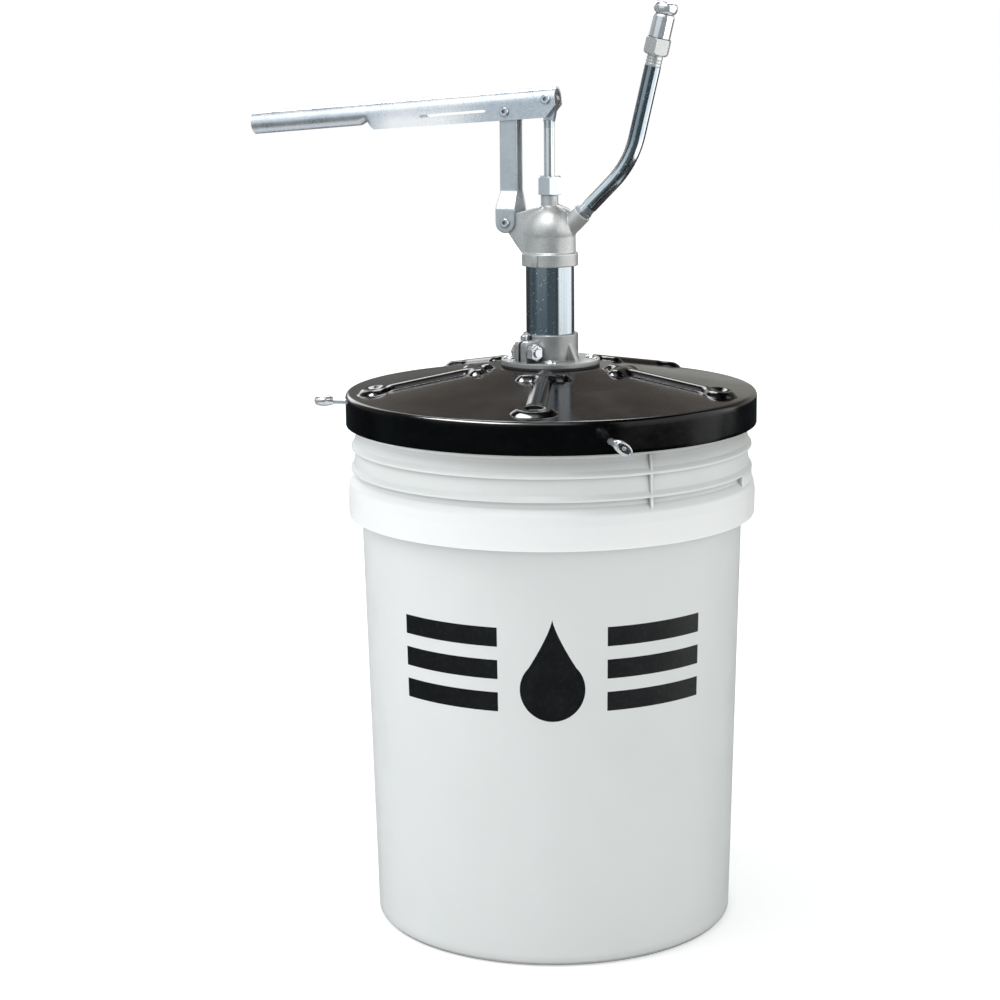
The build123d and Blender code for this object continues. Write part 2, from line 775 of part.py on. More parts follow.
with BuildPart() as lever:
    # inverted channel
    with BuildSketch(lever_cross(rod_end)):
        for half, mode in ((channel_half, Mode.ADD), (channel_inner, Mode.SUBTRACT)):
            with Locations((0, crown_up - cheek_height / 2)):
                Rectangle(2 * half, cheek_height, mode=mode)
            with Locations((0, crown_up)):
                Circle(half, mode=mode)
    extrude(amount=rod_end - shoulder)
    # side outline of the channel
    with BuildSketch(lever_side):
        with BuildLine():
            Polyline(*lever_outline, close=True)
        make_face()
    extrude(amount=20, both=True, mode=Mode.INTERSECT)
    # round handle
    with BuildSketch(lever_cross(handle_start)):
        with Locations((0, crown_up)):
            Circle(handle_r)
            Circle(channel_inner, mode=Mode.SUBTRACT)
    extrude(amount=handle_start - handle_tip)
    # long slots in the cheeks
    with BuildSketch(lever_side):
        with Locations((-40.0, 1.5)):
            SlotOverall(52.0, 2.6)
    extrude(amount=20, both=True, mode=Mode.SUBTRACT)
    with BuildSketch(Plane.XZ):
        with Locations((fulcrum_x, fulcrum_z)):
            Circle(hole_r)
        with Locations((0, rod_pin_z)):
            Circle(rod_hole_r)
    extrude(amount=20, both=True, mode=Mode.SUBTRACT)
save(lever, "lever")

# ---------------------------------------------------------------- pins and clips
pin_head_r, pin_head_t = 3.4, 1.6
# (name, x, z, pin radius, half width of what it holds, length past that on the +Y side)
pins = (
    ("fulcrum", fulcrum_x, fulcrum_z, pin_r, channel_half, 1.6),
    ("rod", 0, rod_pin_z, rod_pin_r, channel_half, 1.6),
    ("link", link_pin_x, link_pin_z, pin_r, link_half, 1.7),
)


def headed_pin(x, z, radius, near, far):
    # head with a drilled centre on the -Y side, plain end on the +Y side
    with BuildPart() as pin:
        with BuildSketch(across_plane(x, near, z)):
            Circle(radius)
        extrude(amount=far - near)
        with BuildSketch(across_plane(x, near, z, facing=-1)):
            Circle(pin_head_r)
        extrude(amount=pin_head_t)
        chamfer(pin.faces().sort_by(Axis.Y)[0].edges(), 0.45)
        with BuildSketch(across_plane(x, near - 2, z)):
            Circle(1.3)
        extrude(amount=2.2, mode=Mode.SUBTRACT)
    return pin


for name, x, z, radius, half_width, tail in pins:
    face = half_width + gap
    save(headed_pin(x, z, radius, -face, half_width + tail), name + "_pin")
    save(ring(across_plane(x, face, z), radius + 1.7, radius + 0.03, 0.9), name + "_clip")

# spacers on either side of the rod eye
with BuildPart() as rod_spacers:
    for spacer_y in (-5.85, 2.35):
        with BuildSketch(across_plane(0, spacer_y, rod_pin_z)):
            Circle(2.9)
            Circle(rod_hole_r, mode=Mode.SUBTRACT)
        extrude(amount=3.5)
save(rod_spacers, "rod_spacers")

# ---------------------------------------------------------------- rod
eye_low = 576.5
eye_height = 8.4
# half travel of the lever pin in the eye, across and up
eye_dx, eye_dz = 1.36, 0.22
eye_x, eye_z = eye_dx, rod_pin_z - eye_dz
eye_slot_height = 2 * (rod_pin_r + eye_dz + 0.06)
tang_outline = (  # (x, z)
    (-3.7, 580.6), (3.7, 580.6), (eye_x + 4.9, rod_pin_z - 3.0), (eye_x - 4.9, rod_pin_z - 3.0),
)

with BuildPart() as rod_eye:
    # round collar on top of the rod, then a flat tang with a slotted eye
    with BuildSketch(Plane.XY.offset(eye_low)):
        Circle(rod_r)
    extrude(amount=5.0)
    with BuildSketch(Plane.XZ):
        with BuildLine():
            Polyline(*tang_outline, close=True)
        make_face()
        with Locations((eye_x, eye_z)):
            SlotOverall(eye_height + 2 * eye_dx, eye_height)
    extrude(amount=2.2, both=True)
    with BuildSketch(Plane.XZ):
        with Locations((eye_x, eye_z)):
            SlotOverall(eye_slot_height + 2 * eye_dx, eye_slot_height)
    extrude(amount=5, both=True, mode=Mode.SUBTRACT)
save(rod_eye, "rod_eye")

rod_shoulder = 94.55  # above it the rod has its full radius
with BuildPart() as piston_rod:
    with BuildSketch(Plane.XY.offset(74.0)):
        Circle(3.0)
    extrude(amount=20.6)
    with BuildSketch(Plane.XY.offset(rod_shoulder)):
        Circle(rod_r)
    extrude(amount=eye_low - gap - rod_shoulder)
save(piston_rod, "piston_rod")

# ---------------------------------------------------------------- piston
piston_hole_r = 3.05
port_circle_r, port_r, port_count = 8.0, 1.9, 6
cup_outline = (
    (piston_hole_r, 92.0), (14.6, 92.0), (15.3, 92.8), (15.44, 100.0),
    (14.4, 100.0), (13.0, 94.5), (piston_hole_r, 94.5),
)

with BuildPart() as piston_body:
    with BuildSketch(Plane.XY.offset(84.0)):
        Circle(15.2)
        Circle(piston_hole_r, mode=Mode.SUBTRACT)
        with PolarLocations(port_circle_r, port_count):
            Circle(port_r, mode=Mode.SUBTRACT)
    extrude(amount=7.95)
save(piston_body, "piston_body")

with BuildPart() as piston_cup:
    with BuildSketch(Plane.XZ):
        with BuildLine():
            Polyline(*cup_outline, close=True)
        make_face()
    revolve(axis=Axis.Z)
    with BuildSketch(Plane.XY.offset(90)):
        with PolarLocations(port_circle_r, port_count):
            Circle(port_r)
    extrude(amount=8, mode=Mode.SUBTRACT)
save(piston_cup, "piston_cup")

with BuildPart() as piston_nut:
    with BuildSketch(Plane.XY.offset(78.4)):
        RegularPolygon(5.9, 6)
        Circle(piston_hole_r, mode=Mode.SUBTRACT)
    extrude(amount=5.55)
save(piston_nut, "piston_nut")

save(ring(Plane.XY.offset(rod_shoulder + gap), 11.0, rod_r + 0.08, 1.5), "transfer_disc")
save(ring(Plane.XY.offset(98.3), 6.4, rod_r + 0.03, 1.2), "disc_stop")

# ---------------------------------------------------------------- foot valve
foot_low = 12.0
foot_r = 17.2
seat_z, seat_r = 20.0, 6.0
foot_ball_r = 8.0
stop_z = 38.4  # height of the cross pin above the ball
stop_half = 15.2
foot_outline = (
    (seat_r, foot_low), (foot_r, foot_low), (foot_r, tube_low - gap),
    (tube_bore_r - gap, tube_low - gap), (tube_bore_r - gap, 42.0),
    (9.2, 42.0), (9.2, seat_z), (seat_r, seat_z),
)

with BuildPart() as foot_body:
    with BuildSketch(Plane.XZ):
        with BuildLine():
            Polyline(*foot_outline, close=True)
        make_face()
    revolve(axis=Axis.Z)
    with BuildSketch(Plane.YZ):
        with Locations((0, stop_z)):
            Circle(1.55)
    extrude(amount=20, both=True, mode=Mode.SUBTRACT)
save(foot_body, "foot_body")

with BuildPart() as ball_stop:
    with BuildSketch(Plane.YZ.offset(-stop_half)):
        with Locations((0, stop_z)):
            Circle(1.5)
    extrude(amount=2 * stop_half)
save(ball_stop, "ball_stop")

with BuildPart() as foot_ball:
    with Locations((0, 0, seat_z + sqrt(foot_ball_r**2 - seat_r**2) + 0.02)):
        Sphere(foot_ball_r)
save(foot_ball, "foot_ball")

# perforated plate with a notched wall that reaches up to the foot body
strainer_r, strainer_low, strainer_t = 16.6, 5.0, 1.2
wall_low = strainer_low + strainer_t
notch_count = 10
with BuildPart() as strainer:
    with BuildSketch(Plane.XY.offset(strainer_low)):
        Circle(strainer_r)
        with PolarLocations(9.5, 8):
            Circle(2.0, mode=Mode.SUBTRACT)
    extrude(amount=strainer_t)
    with BuildSketch(Plane.XY.offset(wall_low)):
        Circle(strainer_r)
        Circle(15.4, mode=Mode.SUBTRACT)
    extrude(amount=foot_low - gap - wall_low)
    for k in range(notch_count):
        with Locations(Location((0, 0, 0), (0, 0, 360 / notch_count * (k + 0.5)))):
            with Locations((16, 0, 8.8)):
                Box(4, 5.0, 3.4, mode=Mode.SUBTRACT)
save(strainer, "strainer")
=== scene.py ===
"""A lever grease pump standing on a white plastic pail with a black ribbed cover.

The pail stands on z = 0 with its axis on Z. The lever lies along X, with its handle towards -X.
Shapes are written in millimetres and turned into metres with MM. Materials, lights and the
camera are in metres. The camera looks from -Y, turned VIEW_AZ towards +X.
"""

import json
import math

import bpy
import numpy as np
from mathutils import Matrix, Vector


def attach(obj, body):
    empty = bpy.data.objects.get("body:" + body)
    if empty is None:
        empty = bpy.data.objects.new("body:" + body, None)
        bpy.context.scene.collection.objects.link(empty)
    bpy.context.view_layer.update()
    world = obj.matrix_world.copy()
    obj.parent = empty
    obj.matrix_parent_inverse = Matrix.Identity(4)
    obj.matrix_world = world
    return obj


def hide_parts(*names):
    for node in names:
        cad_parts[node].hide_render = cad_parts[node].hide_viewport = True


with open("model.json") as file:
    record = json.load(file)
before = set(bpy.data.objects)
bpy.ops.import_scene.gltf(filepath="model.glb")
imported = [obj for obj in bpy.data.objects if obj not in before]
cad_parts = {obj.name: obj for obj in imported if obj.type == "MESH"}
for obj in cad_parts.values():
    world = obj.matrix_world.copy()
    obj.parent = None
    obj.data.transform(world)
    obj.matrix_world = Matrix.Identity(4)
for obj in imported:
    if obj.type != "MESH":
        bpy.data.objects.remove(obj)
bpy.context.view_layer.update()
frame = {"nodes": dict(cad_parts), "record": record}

MM = 0.001
VIEW_AZ = math.radians(20.0)
FULCRUM = Vector((-31.0, 0, 587.5))  # lever pivot, mm

# socket places on a Mix node that mixes colours
MIX_FACTOR, MIX_A, MIX_B, MIX_RESULT = 0, 6, 7, 2


# ------------------------------------------------------------------ node helpers
class Graph:
    """Short way to write a node tree. Values are numbers, colours or output sockets."""

    def __init__(self, owner, source):
        owner.use_nodes = True
        self.tree = owner.node_tree
        self.tree.nodes.clear()
        self.coord = self.new("ShaderNodeTexCoord").outputs[source]

    def new(self, kind, **values):
        node = self.tree.nodes.new(kind)
        for key, value in values.items():
            setattr(node, key, value)
        return node

    def link(self, output, target):
        self.tree.links.new(output, target)

    def put(self, target, value):
        if isinstance(value, (int, float)):
            target.default_value = value
        elif isinstance(value, tuple):
            target.default_value = (*value, 1)
        else:
            self.link(value, target)

    def math(self, operation, a, b=None, clamp=False):
        node = self.new("ShaderNodeMath", operation=operation, use_clamp=clamp)
        self.put(node.inputs[0], a)
        if b is not None:
            self.put(node.inputs[1], b)
        return node.outputs["Value"]

    def plus(self, a, b):
        return self.math("ADD", a, b)

    def minus(self, a, b):
        return self.math("SUBTRACT", a, b)

    def times(self, a, b):
        return self.math("MULTIPLY", a, b)

    def between(self, value, low, high):
        above = self.math("GREATER_THAN", value, low)
        return self.times(above, self.math("LESS_THAN", value, high))

    def radius(self, x, y):
        return self.math("SQRT", self.plus(self.times(x, x), self.times(y, y)))

    def fit(self, value, span=(0.0, 1.0), to=(0.0, 1.0), **settings):
        """Maps value from span onto to."""
        node = self.new("ShaderNodeMapRange", **settings)
        ends = zip(("From Min", "From Max", "To Min", "To Max"), (*span, *to))
        for name, end in ends:
            node.inputs[name].default_value = end
        self.link(value, node.inputs["Value"])
        return node.outputs["Result"]

    def mix(self, factor, under, over, blend="MIX"):
        node = self.new("ShaderNodeMix", data_type="RGBA", blend_type=blend)
        self.put(node.inputs[MIX_FACTOR], factor)
        self.put(node.inputs[MIX_A], under)
        self.put(node.inputs[MIX_B], over)
        return node.outputs[MIX_RESULT]

    def axes(self):
        node = self.new("ShaderNodeSeparateXYZ")
        self.link(self.coord, node.inputs[0])
        return node.outputs

    def view_axes(self, x, y):
        """x and y turned into (towards the camera's right, towards the camera)."""
        c, s = math.cos(VIEW_AZ), math.sin(VIEW_AZ)
        to_right = self.plus(self.times(x, c), self.times(y, s))
        to_camera = self.minus(self.times(x, s), self.times(y, c))
        return to_right, to_camera


class Material(Graph):
    """A Principled material in object coordinates. Keyword values go to the shader's inputs."""

    def __init__(self, name, **values):
        self.mat = bpy.data.materials.new(name)
        super().__init__(self.mat, "Object")
        out = self.new("ShaderNodeOutputMaterial")
        self.bsdf = self.new("ShaderNodeBsdfPrincipled")
        self.link(self.bsdf.outputs["BSDF"], out.inputs["Surface"])
        for key, value in values.items():
            self.bsdf.inputs[key.replace("_", " ")].default_value = value

    def drive(self, name, output):
        self.link(output, self.bsdf.inputs[name])

    def noise(self, scale, detail=4.0, rough=0.5, stretch=None):
        vector = self.coord
        if stretch:
            mapping = self.new("ShaderNodeMapping")
            mapping.inputs["Scale"].default_value = stretch
            self.link(vector, mapping.inputs["Vector"])
            vector = mapping.outputs["Vector"]
        node = self.new("ShaderNodeTexNoise")
        node.inputs["Scale"].default_value = scale
        node.inputs["Detail"].default_value = detail
        node.inputs["Roughness"].default_value = rough
        self.link(vector, node.inputs["Vector"])
        return node.outputs["Fac"]

    def cells(self, scale):
        node = self.new("ShaderNodeTexVoronoi")
        node.inputs["Scale"].default_value = scale
        self.link(self.coord, node.inputs["Vector"])
        return node.outputs["Distance"]

    def crevice_shade(self, base, reach, darkest, span, samples=6):
        """Painted shade: darkens base in corners found by ambient occlusion, down to darkest. reach
        is the occlusion distance.
        """
        occlusion = self.new("ShaderNodeAmbientOcclusion", samples=samples)
        occlusion.inputs["Distance"].default_value = reach
        shade = self.fit(occlusion.outputs["AO"], span=span, to=(darkest, 1.0))
        grey = self.new("ShaderNodeValToRGB")  # its default ramp runs from black to white
        self.link(shade, grey.inputs["Fac"])
        return self.mix(1.0, base, grey.outputs["Color"], "MULTIPLY")

    def bump(self, height, strength, distance, below=None):
        node = self.new("ShaderNodeBump")
        node.inputs["Strength"].default_value = strength
        node.inputs["Distance"].default_value = distance
        self.link(height, node.inputs["Height"])
        if below is not None:
            self.link(below, node.inputs["Normal"])
        self.drive("Normal", node.outputs["Normal"])
        return node.outputs["Normal"]


MIDDLE = (0.3, 0.7)  # the part of a noise's range that holds most of its values


# ------------------------------------------------------------------ materials
def metal(name, colour, rough, spread=0.06, grain=900.0, bump=0.02, corner_shade=0.35, mottle=0.0,
          metallic=1.0):
    """grain and mottle are texture scales, corner_shade is the brightness that painted shade leaves
    in corners.
    """
    n = Material(name, Metallic=metallic)
    broad = n.noise(scale=60.0, detail=3.0, rough=0.6)
    fine = n.noise(scale=grain, detail=2.0, rough=0.5)
    darker = tuple(c * 0.86 for c in colour)
    base = n.mix(n.fit(broad, span=MIDDLE), under=darker, over=colour)
    if mottle:
        brighter = tuple(min(1, c * 1.18) for c in colour)
        base = n.mix(n.fit(n.cells(scale=mottle), to=(0.0, 0.35)), under=base, over=brighter)
    # painted shade: corners darkened by ambient occlusion
    if corner_shade:
        base = n.crevice_shade(base, reach=0.004, darkest=corner_shade, span=(0.0, 0.9))
    n.drive("Base Color", base)
    roughness = n.fit(n.plus(broad, fine), span=(0.6, 1.4), to=(rough - spread, rough + spread))
    n.drive("Roughness", roughness)
    if bump:
        n.bump(fine, strength=bump, distance=0.0006)
    return n.mat


# Print on the pail, in metres. u is the arc from the camera's side, v the height from the centre.
PRINT_RADIUS = 0.1355
PRINT_CENTRE_Z = 0.216
PRINT_INNER_LIMIT = 0.1325  # ink stays outside this radius
DROP_RADIUS = 0.0225
DROP_BELOW = 0.014  # centre of the drop's circle, below v = 0
TIP_BELOW = 0.006  # foot of the drop's taper, below v = 0
TIP_HEIGHT = 0.042
TIP_HALF_WIDTH = 0.0211
TIP_POWER = 1.3
BAR_CENTRES = (0.0225, -0.0005, -0.0235)
BAR_HALF_HEIGHT = 0.0068
BAR_SPAN = (0.038, 0.114)  # along u, on both sides
BAND_INNER_LIMIT = 0.1400  # the band and rings stand outside this radius


def printed_ink(n, u, v):
    """Mask of a drop between three bars on each side."""
    across = n.math("ABSOLUTE", u)
    drop_v = n.math("POWER", n.plus(v, DROP_BELOW), 2.0)
    from_centre = n.math("SQRT", n.plus(n.times(u, u), drop_v))
    circle = n.math("LESS_THAN", from_centre, DROP_RADIUS)
    rise = n.math("DIVIDE", n.plus(v, TIP_BELOW), TIP_HEIGHT)
    rise = n.math("MAXIMUM", n.math("MINIMUM", rise, 1.0), 0.0)
    narrowing = n.math("POWER", n.minus(1.0, rise), TIP_POWER)
    inside = n.math("LESS_THAN", across, n.times(narrowing, TIP_HALF_WIDTH))
    taper = n.times(inside, n.between(v, -TIP_BELOW, TIP_HEIGHT - TIP_BELOW))
    ink = n.math("MAXIMUM", circle, taper)
    for centre in BAR_CENTRES:
        bar = n.math("LESS_THAN", n.math("ABSOLUTE", n.minus(v, centre)), BAR_HALF_HEIGHT)
        ink = n.math("MAXIMUM", ink, n.times(bar, n.between(across, *BAR_SPAN)))
    return ink


def pail_plastic():
    n = Material(
        "pail_plastic", Roughness=0.42, IOR=1.5, Subsurface_Weight=0.18,
        Subsurface_Radius=(0.006, 0.006, 0.005), Subsurface_Scale=1.0,
    )
    cloud = n.noise(scale=9.0, detail=3.0, rough=0.5)
    streak = n.noise(scale=1.0, detail=3.0, rough=0.6, stretch=(26, 26, 3))
    base = n.mix(n.fit(cloud, span=MIDDLE), under=(0.715, 0.734, 0.725), over=(0.748, 0.761, 0.755))
    streak = n.fit(streak, span=(0.45, 0.8), to=(0.0, 0.35))
    base = n.mix(streak, under=base, over=(0.70, 0.722, 0.71))

    x, y, z = n.axes()
    side, front = n.view_axes(x, y)
    u = n.times(n.math("ARCTAN2", side, front), PRINT_RADIUS)
    v = n.minus(z, PRINT_CENTRE_Z)
    ink = printed_ink(n, u, v)
    facing = n.math("GREATER_THAN", front, 0.0)
    outside = n.math("GREATER_THAN", n.radius(x, y), PRINT_INNER_LIMIT)
    ink = n.times(n.times(ink, facing), outside)

    # painted highlight: the wide band round the top of the wall is painted its whitest part, for
    # the light it catches
    low = n.fit(z, span=(0.3000, 0.3012))
    high = n.fit(z, span=(0.3290, 0.3350), to=(1.0, 0.0))
    outer = n.math("GREATER_THAN", n.radius(x, y), BAND_INNER_LIMIT)
    base = n.mix(n.times(n.times(low, high), outer), under=base, over=(0.875, 0.885, 0.88))
    # painted shadow of the cover: the wall just under it is painted darker on the front and right
    cover_shadow_height = n.fit(z, span=(0.350, 0.360), to=(0.0, 0.32))
    cover_shadow = n.times(cover_shadow_height, n.fit(u, span=(-0.14, 0.0)))
    cover_shadow = n.times(n.times(cover_shadow, outer), n.fit(u, span=(0.18, 0.34), to=(1.0, 0.0)))
    base = n.mix(cover_shadow, under=base, over=(0.10, 0.10, 0.085))
    # painted shade in the corners under the rings, the band and the cover
    base = n.crevice_shade(base, reach=0.012, darkest=0.36, span=(0.20, 0.82), samples=8)

    wear = n.noise(scale=420.0, detail=4.0, rough=0.7)
    wear = n.fit(wear, span=(0.3, 0.5), to=(0.985, 1.0))
    base = n.mix(n.times(ink, wear), under=base, over=(0.0035, 0.0035, 0.0042))
    n.drive("Base Color", base)
    gloss = n.noise(scale=70.0, detail=3.0)
    n.drive("Roughness", n.fit(gloss, span=MIDDLE, to=(0.36, 0.50)))
    n.bump(n.noise(scale=240.0, detail=3.0, rough=0.5), strength=0.05, distance=0.0008)
    return n.mat


def black_enamel():
    n = Material("black_enamel", IOR=1.31)
    dust = n.fit(n.noise(scale=160.0, detail=5.0, rough=0.65), span=(0.45, 0.75))
    base = n.mix(dust, under=(0.0006, 0.0006, 0.0006), over=(0.0030, 0.0026, 0.0024))
    n.drive("Base Color", base)
    gloss = n.noise(scale=35.0, detail=4.0, rough=0.6)
    n.drive("Roughness", n.fit(gloss, span=MIDDLE, to=(0.10, 0.20)))
    n.bump(n.noise(scale=210.0, detail=2.0, rough=0.4), strength=0.035, distance=0.0008)
    return n.mat


def casting(name, gain=1.0):
    """Blasted metal. gain scales its colours."""
    dark, light, sparkle = (
        tuple(gain * c for c in colour)
        for colour in ((0.50, 0.505, 0.49), (0.64, 0.645, 0.635), (0.88, 0.89, 0.90))
    )
    n = Material(name, Metallic=0.58)
    broad = n.noise(scale=45.0, detail=4.0, rough=0.6)
    grain = n.noise(scale=1500.0, detail=2.0, rough=0.6)
    base = n.mix(n.fit(broad, span=MIDDLE), under=dark, over=light)
    base = n.mix(n.fit(grain, span=(0.44, 0.64), to=(0.0, 0.50)), under=base, over=sparkle)
    # painted shade in the casting's corners and recesses
    base = n.crevice_shade(base, reach=0.008, darkest=0.16, span=(0.10, 0.85), samples=8)
    n.drive("Base Color", base)
    n.drive("Roughness", n.fit(broad, span=MIDDLE, to=(0.34, 0.46)))
    fine = n.bump(grain, strength=0.16, distance=0.0005)
    waves = n.noise(scale=160.0, detail=3.0, rough=0.6)
    n.bump(waves, strength=0.08, distance=0.001, below=fine)
    return n.mat


def rubber():
    n = Material("rubber")
    base = n.mix(n.noise(scale=200.0), under=(0.018, 0.018, 0.019), over=(0.035, 0.035, 0.036))
    n.drive("Base Color", base)
    n.drive("Roughness", n.fit(n.noise(scale=90.0), to=(0.6, 0.8)))
    n.bump(n.noise(scale=700.0), strength=0.1, distance=0.0004)
    return n.mat


def packing():
    n = Material("packing_braid", Roughness=0.8)
    weave = n.new("ShaderNodeTexWave", wave_type="BANDS", bands_direction="DIAGONAL")
    weave.inputs["Scale"].default_value = 450.0
    n.link(n.coord, weave.inputs["Vector"])
    strands = weave.outputs["Fac"]
    n.drive("Base Color", n.mix(strands, under=(0.14, 0.12, 0.08), over=(0.33, 0.29, 0.2)))
    n.bump(strands, strength=0.4, distance=0.0004)
    return n.mat


def drawn_tube(name, colour, rough, specks=True, metallic=1.0, lower=None):
    """Metal with fine lines along Z. lower is a light colour painted on its bottom end as a painted
    highlight.
    """
    n = Material(name, Metallic=metallic)
    lines = n.noise(scale=1.0, detail=3.0, rough=0.6, stretch=(900, 900, 12))
    spots = n.noise(scale=260.0, detail=6.0, rough=0.75)
    darker = tuple(c * 0.86 for c in colour)
    base = n.mix(n.fit(lines, span=MIDDLE), under=darker, over=colour)
    if lower:
        x, y, z = n.axes()
        # painted highlight: the bottom end takes the light colour lower
        base = n.mix(n.fit(z, span=(0.546, 0.572)), under=lower, over=base)
    if specks:
        flecks = n.fit(n.noise(scale=620.0, detail=3.0, rough=0.8), span=(0.60, 0.70))
        mask = n.times(flecks, n.fit(spots, span=(0.45, 0.62), to=(0.15, 1.0)))
        base = n.mix(mask, under=base, over=tuple(min(1, c * 1.7) for c in colour))
        n.drive("Roughness", n.fit(mask, to=(rough, 0.5)))
        n.drive("Metallic", n.times(n.minus(1.0, mask), metallic))
    else:
        n.drive("Roughness", n.fit(spots, span=MIDDLE, to=(rough * 0.7, rough * 1.5)))
    n.drive("Base Color", base)
    n.bump(lines, strength=0.02, distance=0.0004)
    return n.mat


LEVER_METALLIC = 0.82
PAINTED_STREAK_SLOPE = 0.0787  # rise of the painted highlight streak along X
PAINTED_STREAK_STRENGTH = 0.8


def lever_zinc():
    n = Material("lever_zinc", Metallic=LEVER_METALLIC)
    cloud = n.noise(scale=55.0, detail=5.0, rough=0.6)
    grain = n.noise(scale=620.0, detail=4.0, rough=0.7)
    cells = n.cells(scale=260.0)
    cloudy = n.fit(cloud, span=(0.35, 0.65))
    base = n.mix(cloudy, under=(0.68, 0.73, 0.79), over=(0.84, 0.88, 0.92))
    grainy = n.fit(grain, span=(0.45, 0.62), to=(0.0, 0.6))
    base = n.mix(grainy, under=base, over=(0.96, 0.98, 0.99))
    spangle = n.fit(cells, span=(0.1, 0.6), to=(0.22, 0.0))
    base = n.mix(spangle, under=base, over=(0.46, 0.52, 0.58))
    # painted shade in the channel's corners
    base = n.crevice_shade(base, reach=0.005, darkest=0.35, span=(0.0, 0.85))
    # painted highlight: the cheeks are painted brighter and less metallic along their middle, more
    # so near the lower edge
    x, y, z = n.axes()
    fade_in = n.fit(x, span=(-0.137, -0.118))
    along = n.times(fade_in, n.fit(x, span=(-0.078, -0.042), to=(1.0, 0.0)))
    slope = n.times(n.plus(x, -FULCRUM.x * MM), PAINTED_STREAK_SLOPE)
    rise = n.minus(n.minus(z, FULCRUM.z * MM), slope)
    painted_streak = n.times(along, n.fit(rise, span=(-0.001, 0.007), to=(1.0, 0.45)))
    base = n.mix(n.times(painted_streak, PAINTED_STREAK_STRENGTH), under=base, over=(0.97, 0.98, 0.99))
    n.drive("Metallic", n.fit(painted_streak, to=(LEVER_METALLIC, 0.28)))
    n.drive("Base Color", base)
    n.drive("Roughness", n.fit(n.plus(cloud, grain), span=(0.7, 1.3), to=(0.22, 0.42)))
    n.bump(grain, strength=0.07, distance=0.0005)
    return n.mat


MATS = {
    "pail": pail_plastic(),
    "cover": black_enamel(),
    "rubber": rubber(),
    "packing": packing(),
    "zinc": metal("zinc_plate", (0.80, 0.84, 0.87), rough=0.22, grain=700.0, bump=0.03,
                  corner_shade=0.25, metallic=0.86),
    "zinc_screw": metal("zinc_screw", (0.86, 0.88, 0.90), rough=0.18, spread=0.05, grain=700.0,
                        corner_shade=0.2, metallic=0.72),
    "casting": casting("blasted_casting"),
    # a darker copy of the casting for the flange: painted shade
    "casting_shaded": casting("blasted_casting_shaded", gain=0.72),
    "tube": drawn_tube("bright_tube", (0.50, 0.55, 0.58), rough=0.13),
    # painted highlight: the outlet pipe's bottom end is painted near-white
    "outlet_tube": drawn_tube("outlet_pipe", (0.37, 0.42, 0.45), rough=0.13,
                              lower=(0.90, 0.93, 0.95)),
    "chrome": metal("chrome_plate", (0.86, 0.88, 0.89), rough=0.10, spread=0.03, grain=500.0,
                    bump=0.0, corner_shade=0.2, metallic=0.72),
    "coupler_zinc": metal("coupler_zinc", (0.56, 0.58, 0.57), rough=0.28, grain=700.0,
                          corner_shade=0.25, metallic=0.55),
    "rod": drawn_tube("ground_rod", (0.88, 0.90, 0.92), rough=0.10, specks=False, metallic=0.78),
    "link": metal("link_zinc", (0.74, 0.78, 0.80), rough=0.32, spread=0.08, grain=620.0,
                  bump=0.10, corner_shade=0.25, mottle=300.0, metallic=0.8),
    "lever": lever_zinc(),
    "aluminium": metal("machined_aluminium", (0.66, 0.66, 0.67), rough=0.28, spread=0.05,
                       bump=0.03, corner_shade=0.3),
    "brass": metal("machined_brass", (0.80, 0.60, 0.26), rough=0.24, spread=0.05, corner_shade=0.3),
    "steel_ball": metal("polished_ball", (0.80, 0.81, 0.82), rough=0.05, spread=0.02,
                        grain=600.0, bump=0.0, corner_shade=0.0),
    "strainer": metal("strainer_steel", (0.62, 0.63, 0.64), rough=0.30, grain=800.0, bump=0.04),
}

# ------------------------------------------------------------------ finish on the frame's pieces
# castings: piece: (voxel size in mm, smoothing passes)
REMESH = {
    "head": (0.38, 3), "flange": (0.38, 2), "link": (0.40, 12),
    "thumbscrew_a": (0.28, 4), "thumbscrew_b": (0.28, 4), "thumbscrew_c": (0.28, 4),
}
# machined pieces: bevel width in mm
BEVEL = {
    "packing_nut": 0.45, "coupler_nut": 0.5, "outlet_fitting": 0.3, "coupler_body": 0.3,
    "coupler_lip": 0.25, "clamp_nut": 0.3, "clamp_bolt": 0.3, "flange_nuts": 0.25,
    "weld_nuts": 0.25, "fulcrum_pin": 0.2, "rod_pin": 0.2, "link_pin": 0.2, "lug_screw": 0.2,
    "rod_eye": 0.3, "strainer": 0.25, "foot_body": 0.3, "coupler_ferrule": 0.15,
}
CREASE_ANGLE = math.radians(32)


def add_bevel(piece, width, segments=3, angle=None):
    """width is in mm."""
    edges = piece.modifiers.new("edges", "BEVEL")
    edges.width = width * MM
    edges.segments = segments
    edges.limit_method = "ANGLE"
    if angle is not None:
        edges.angle_limit = angle


def soften_casting(piece, voxel, passes):
    remesh = piece.modifiers.new("remesh", "REMESH")
    remesh.mode = "VOXEL"
    remesh.voxel_size = voxel * MM
    remesh.use_smooth_shade = True
    soften = piece.modifiers.new("soften", "SMOOTH")
    soften.factor = 0.5
    soften.iterations = passes


def crisp_edges(piece, bevel_width):
    if bevel_width:
        add_bevel(piece, bevel_width, angle=CREASE_ANGLE)
    split = piece.modifiers.new("creases", "EDGE_SPLIT")
    split.split_angle = CREASE_ANGLE
    split.use_edge_sharp = False
    piece.modifiers.new("flats", "WEIGHTED_NORMAL").weight = 90


slots = {part["node"]: part["material_slot"] for part in frame["record"]["subparts"]}
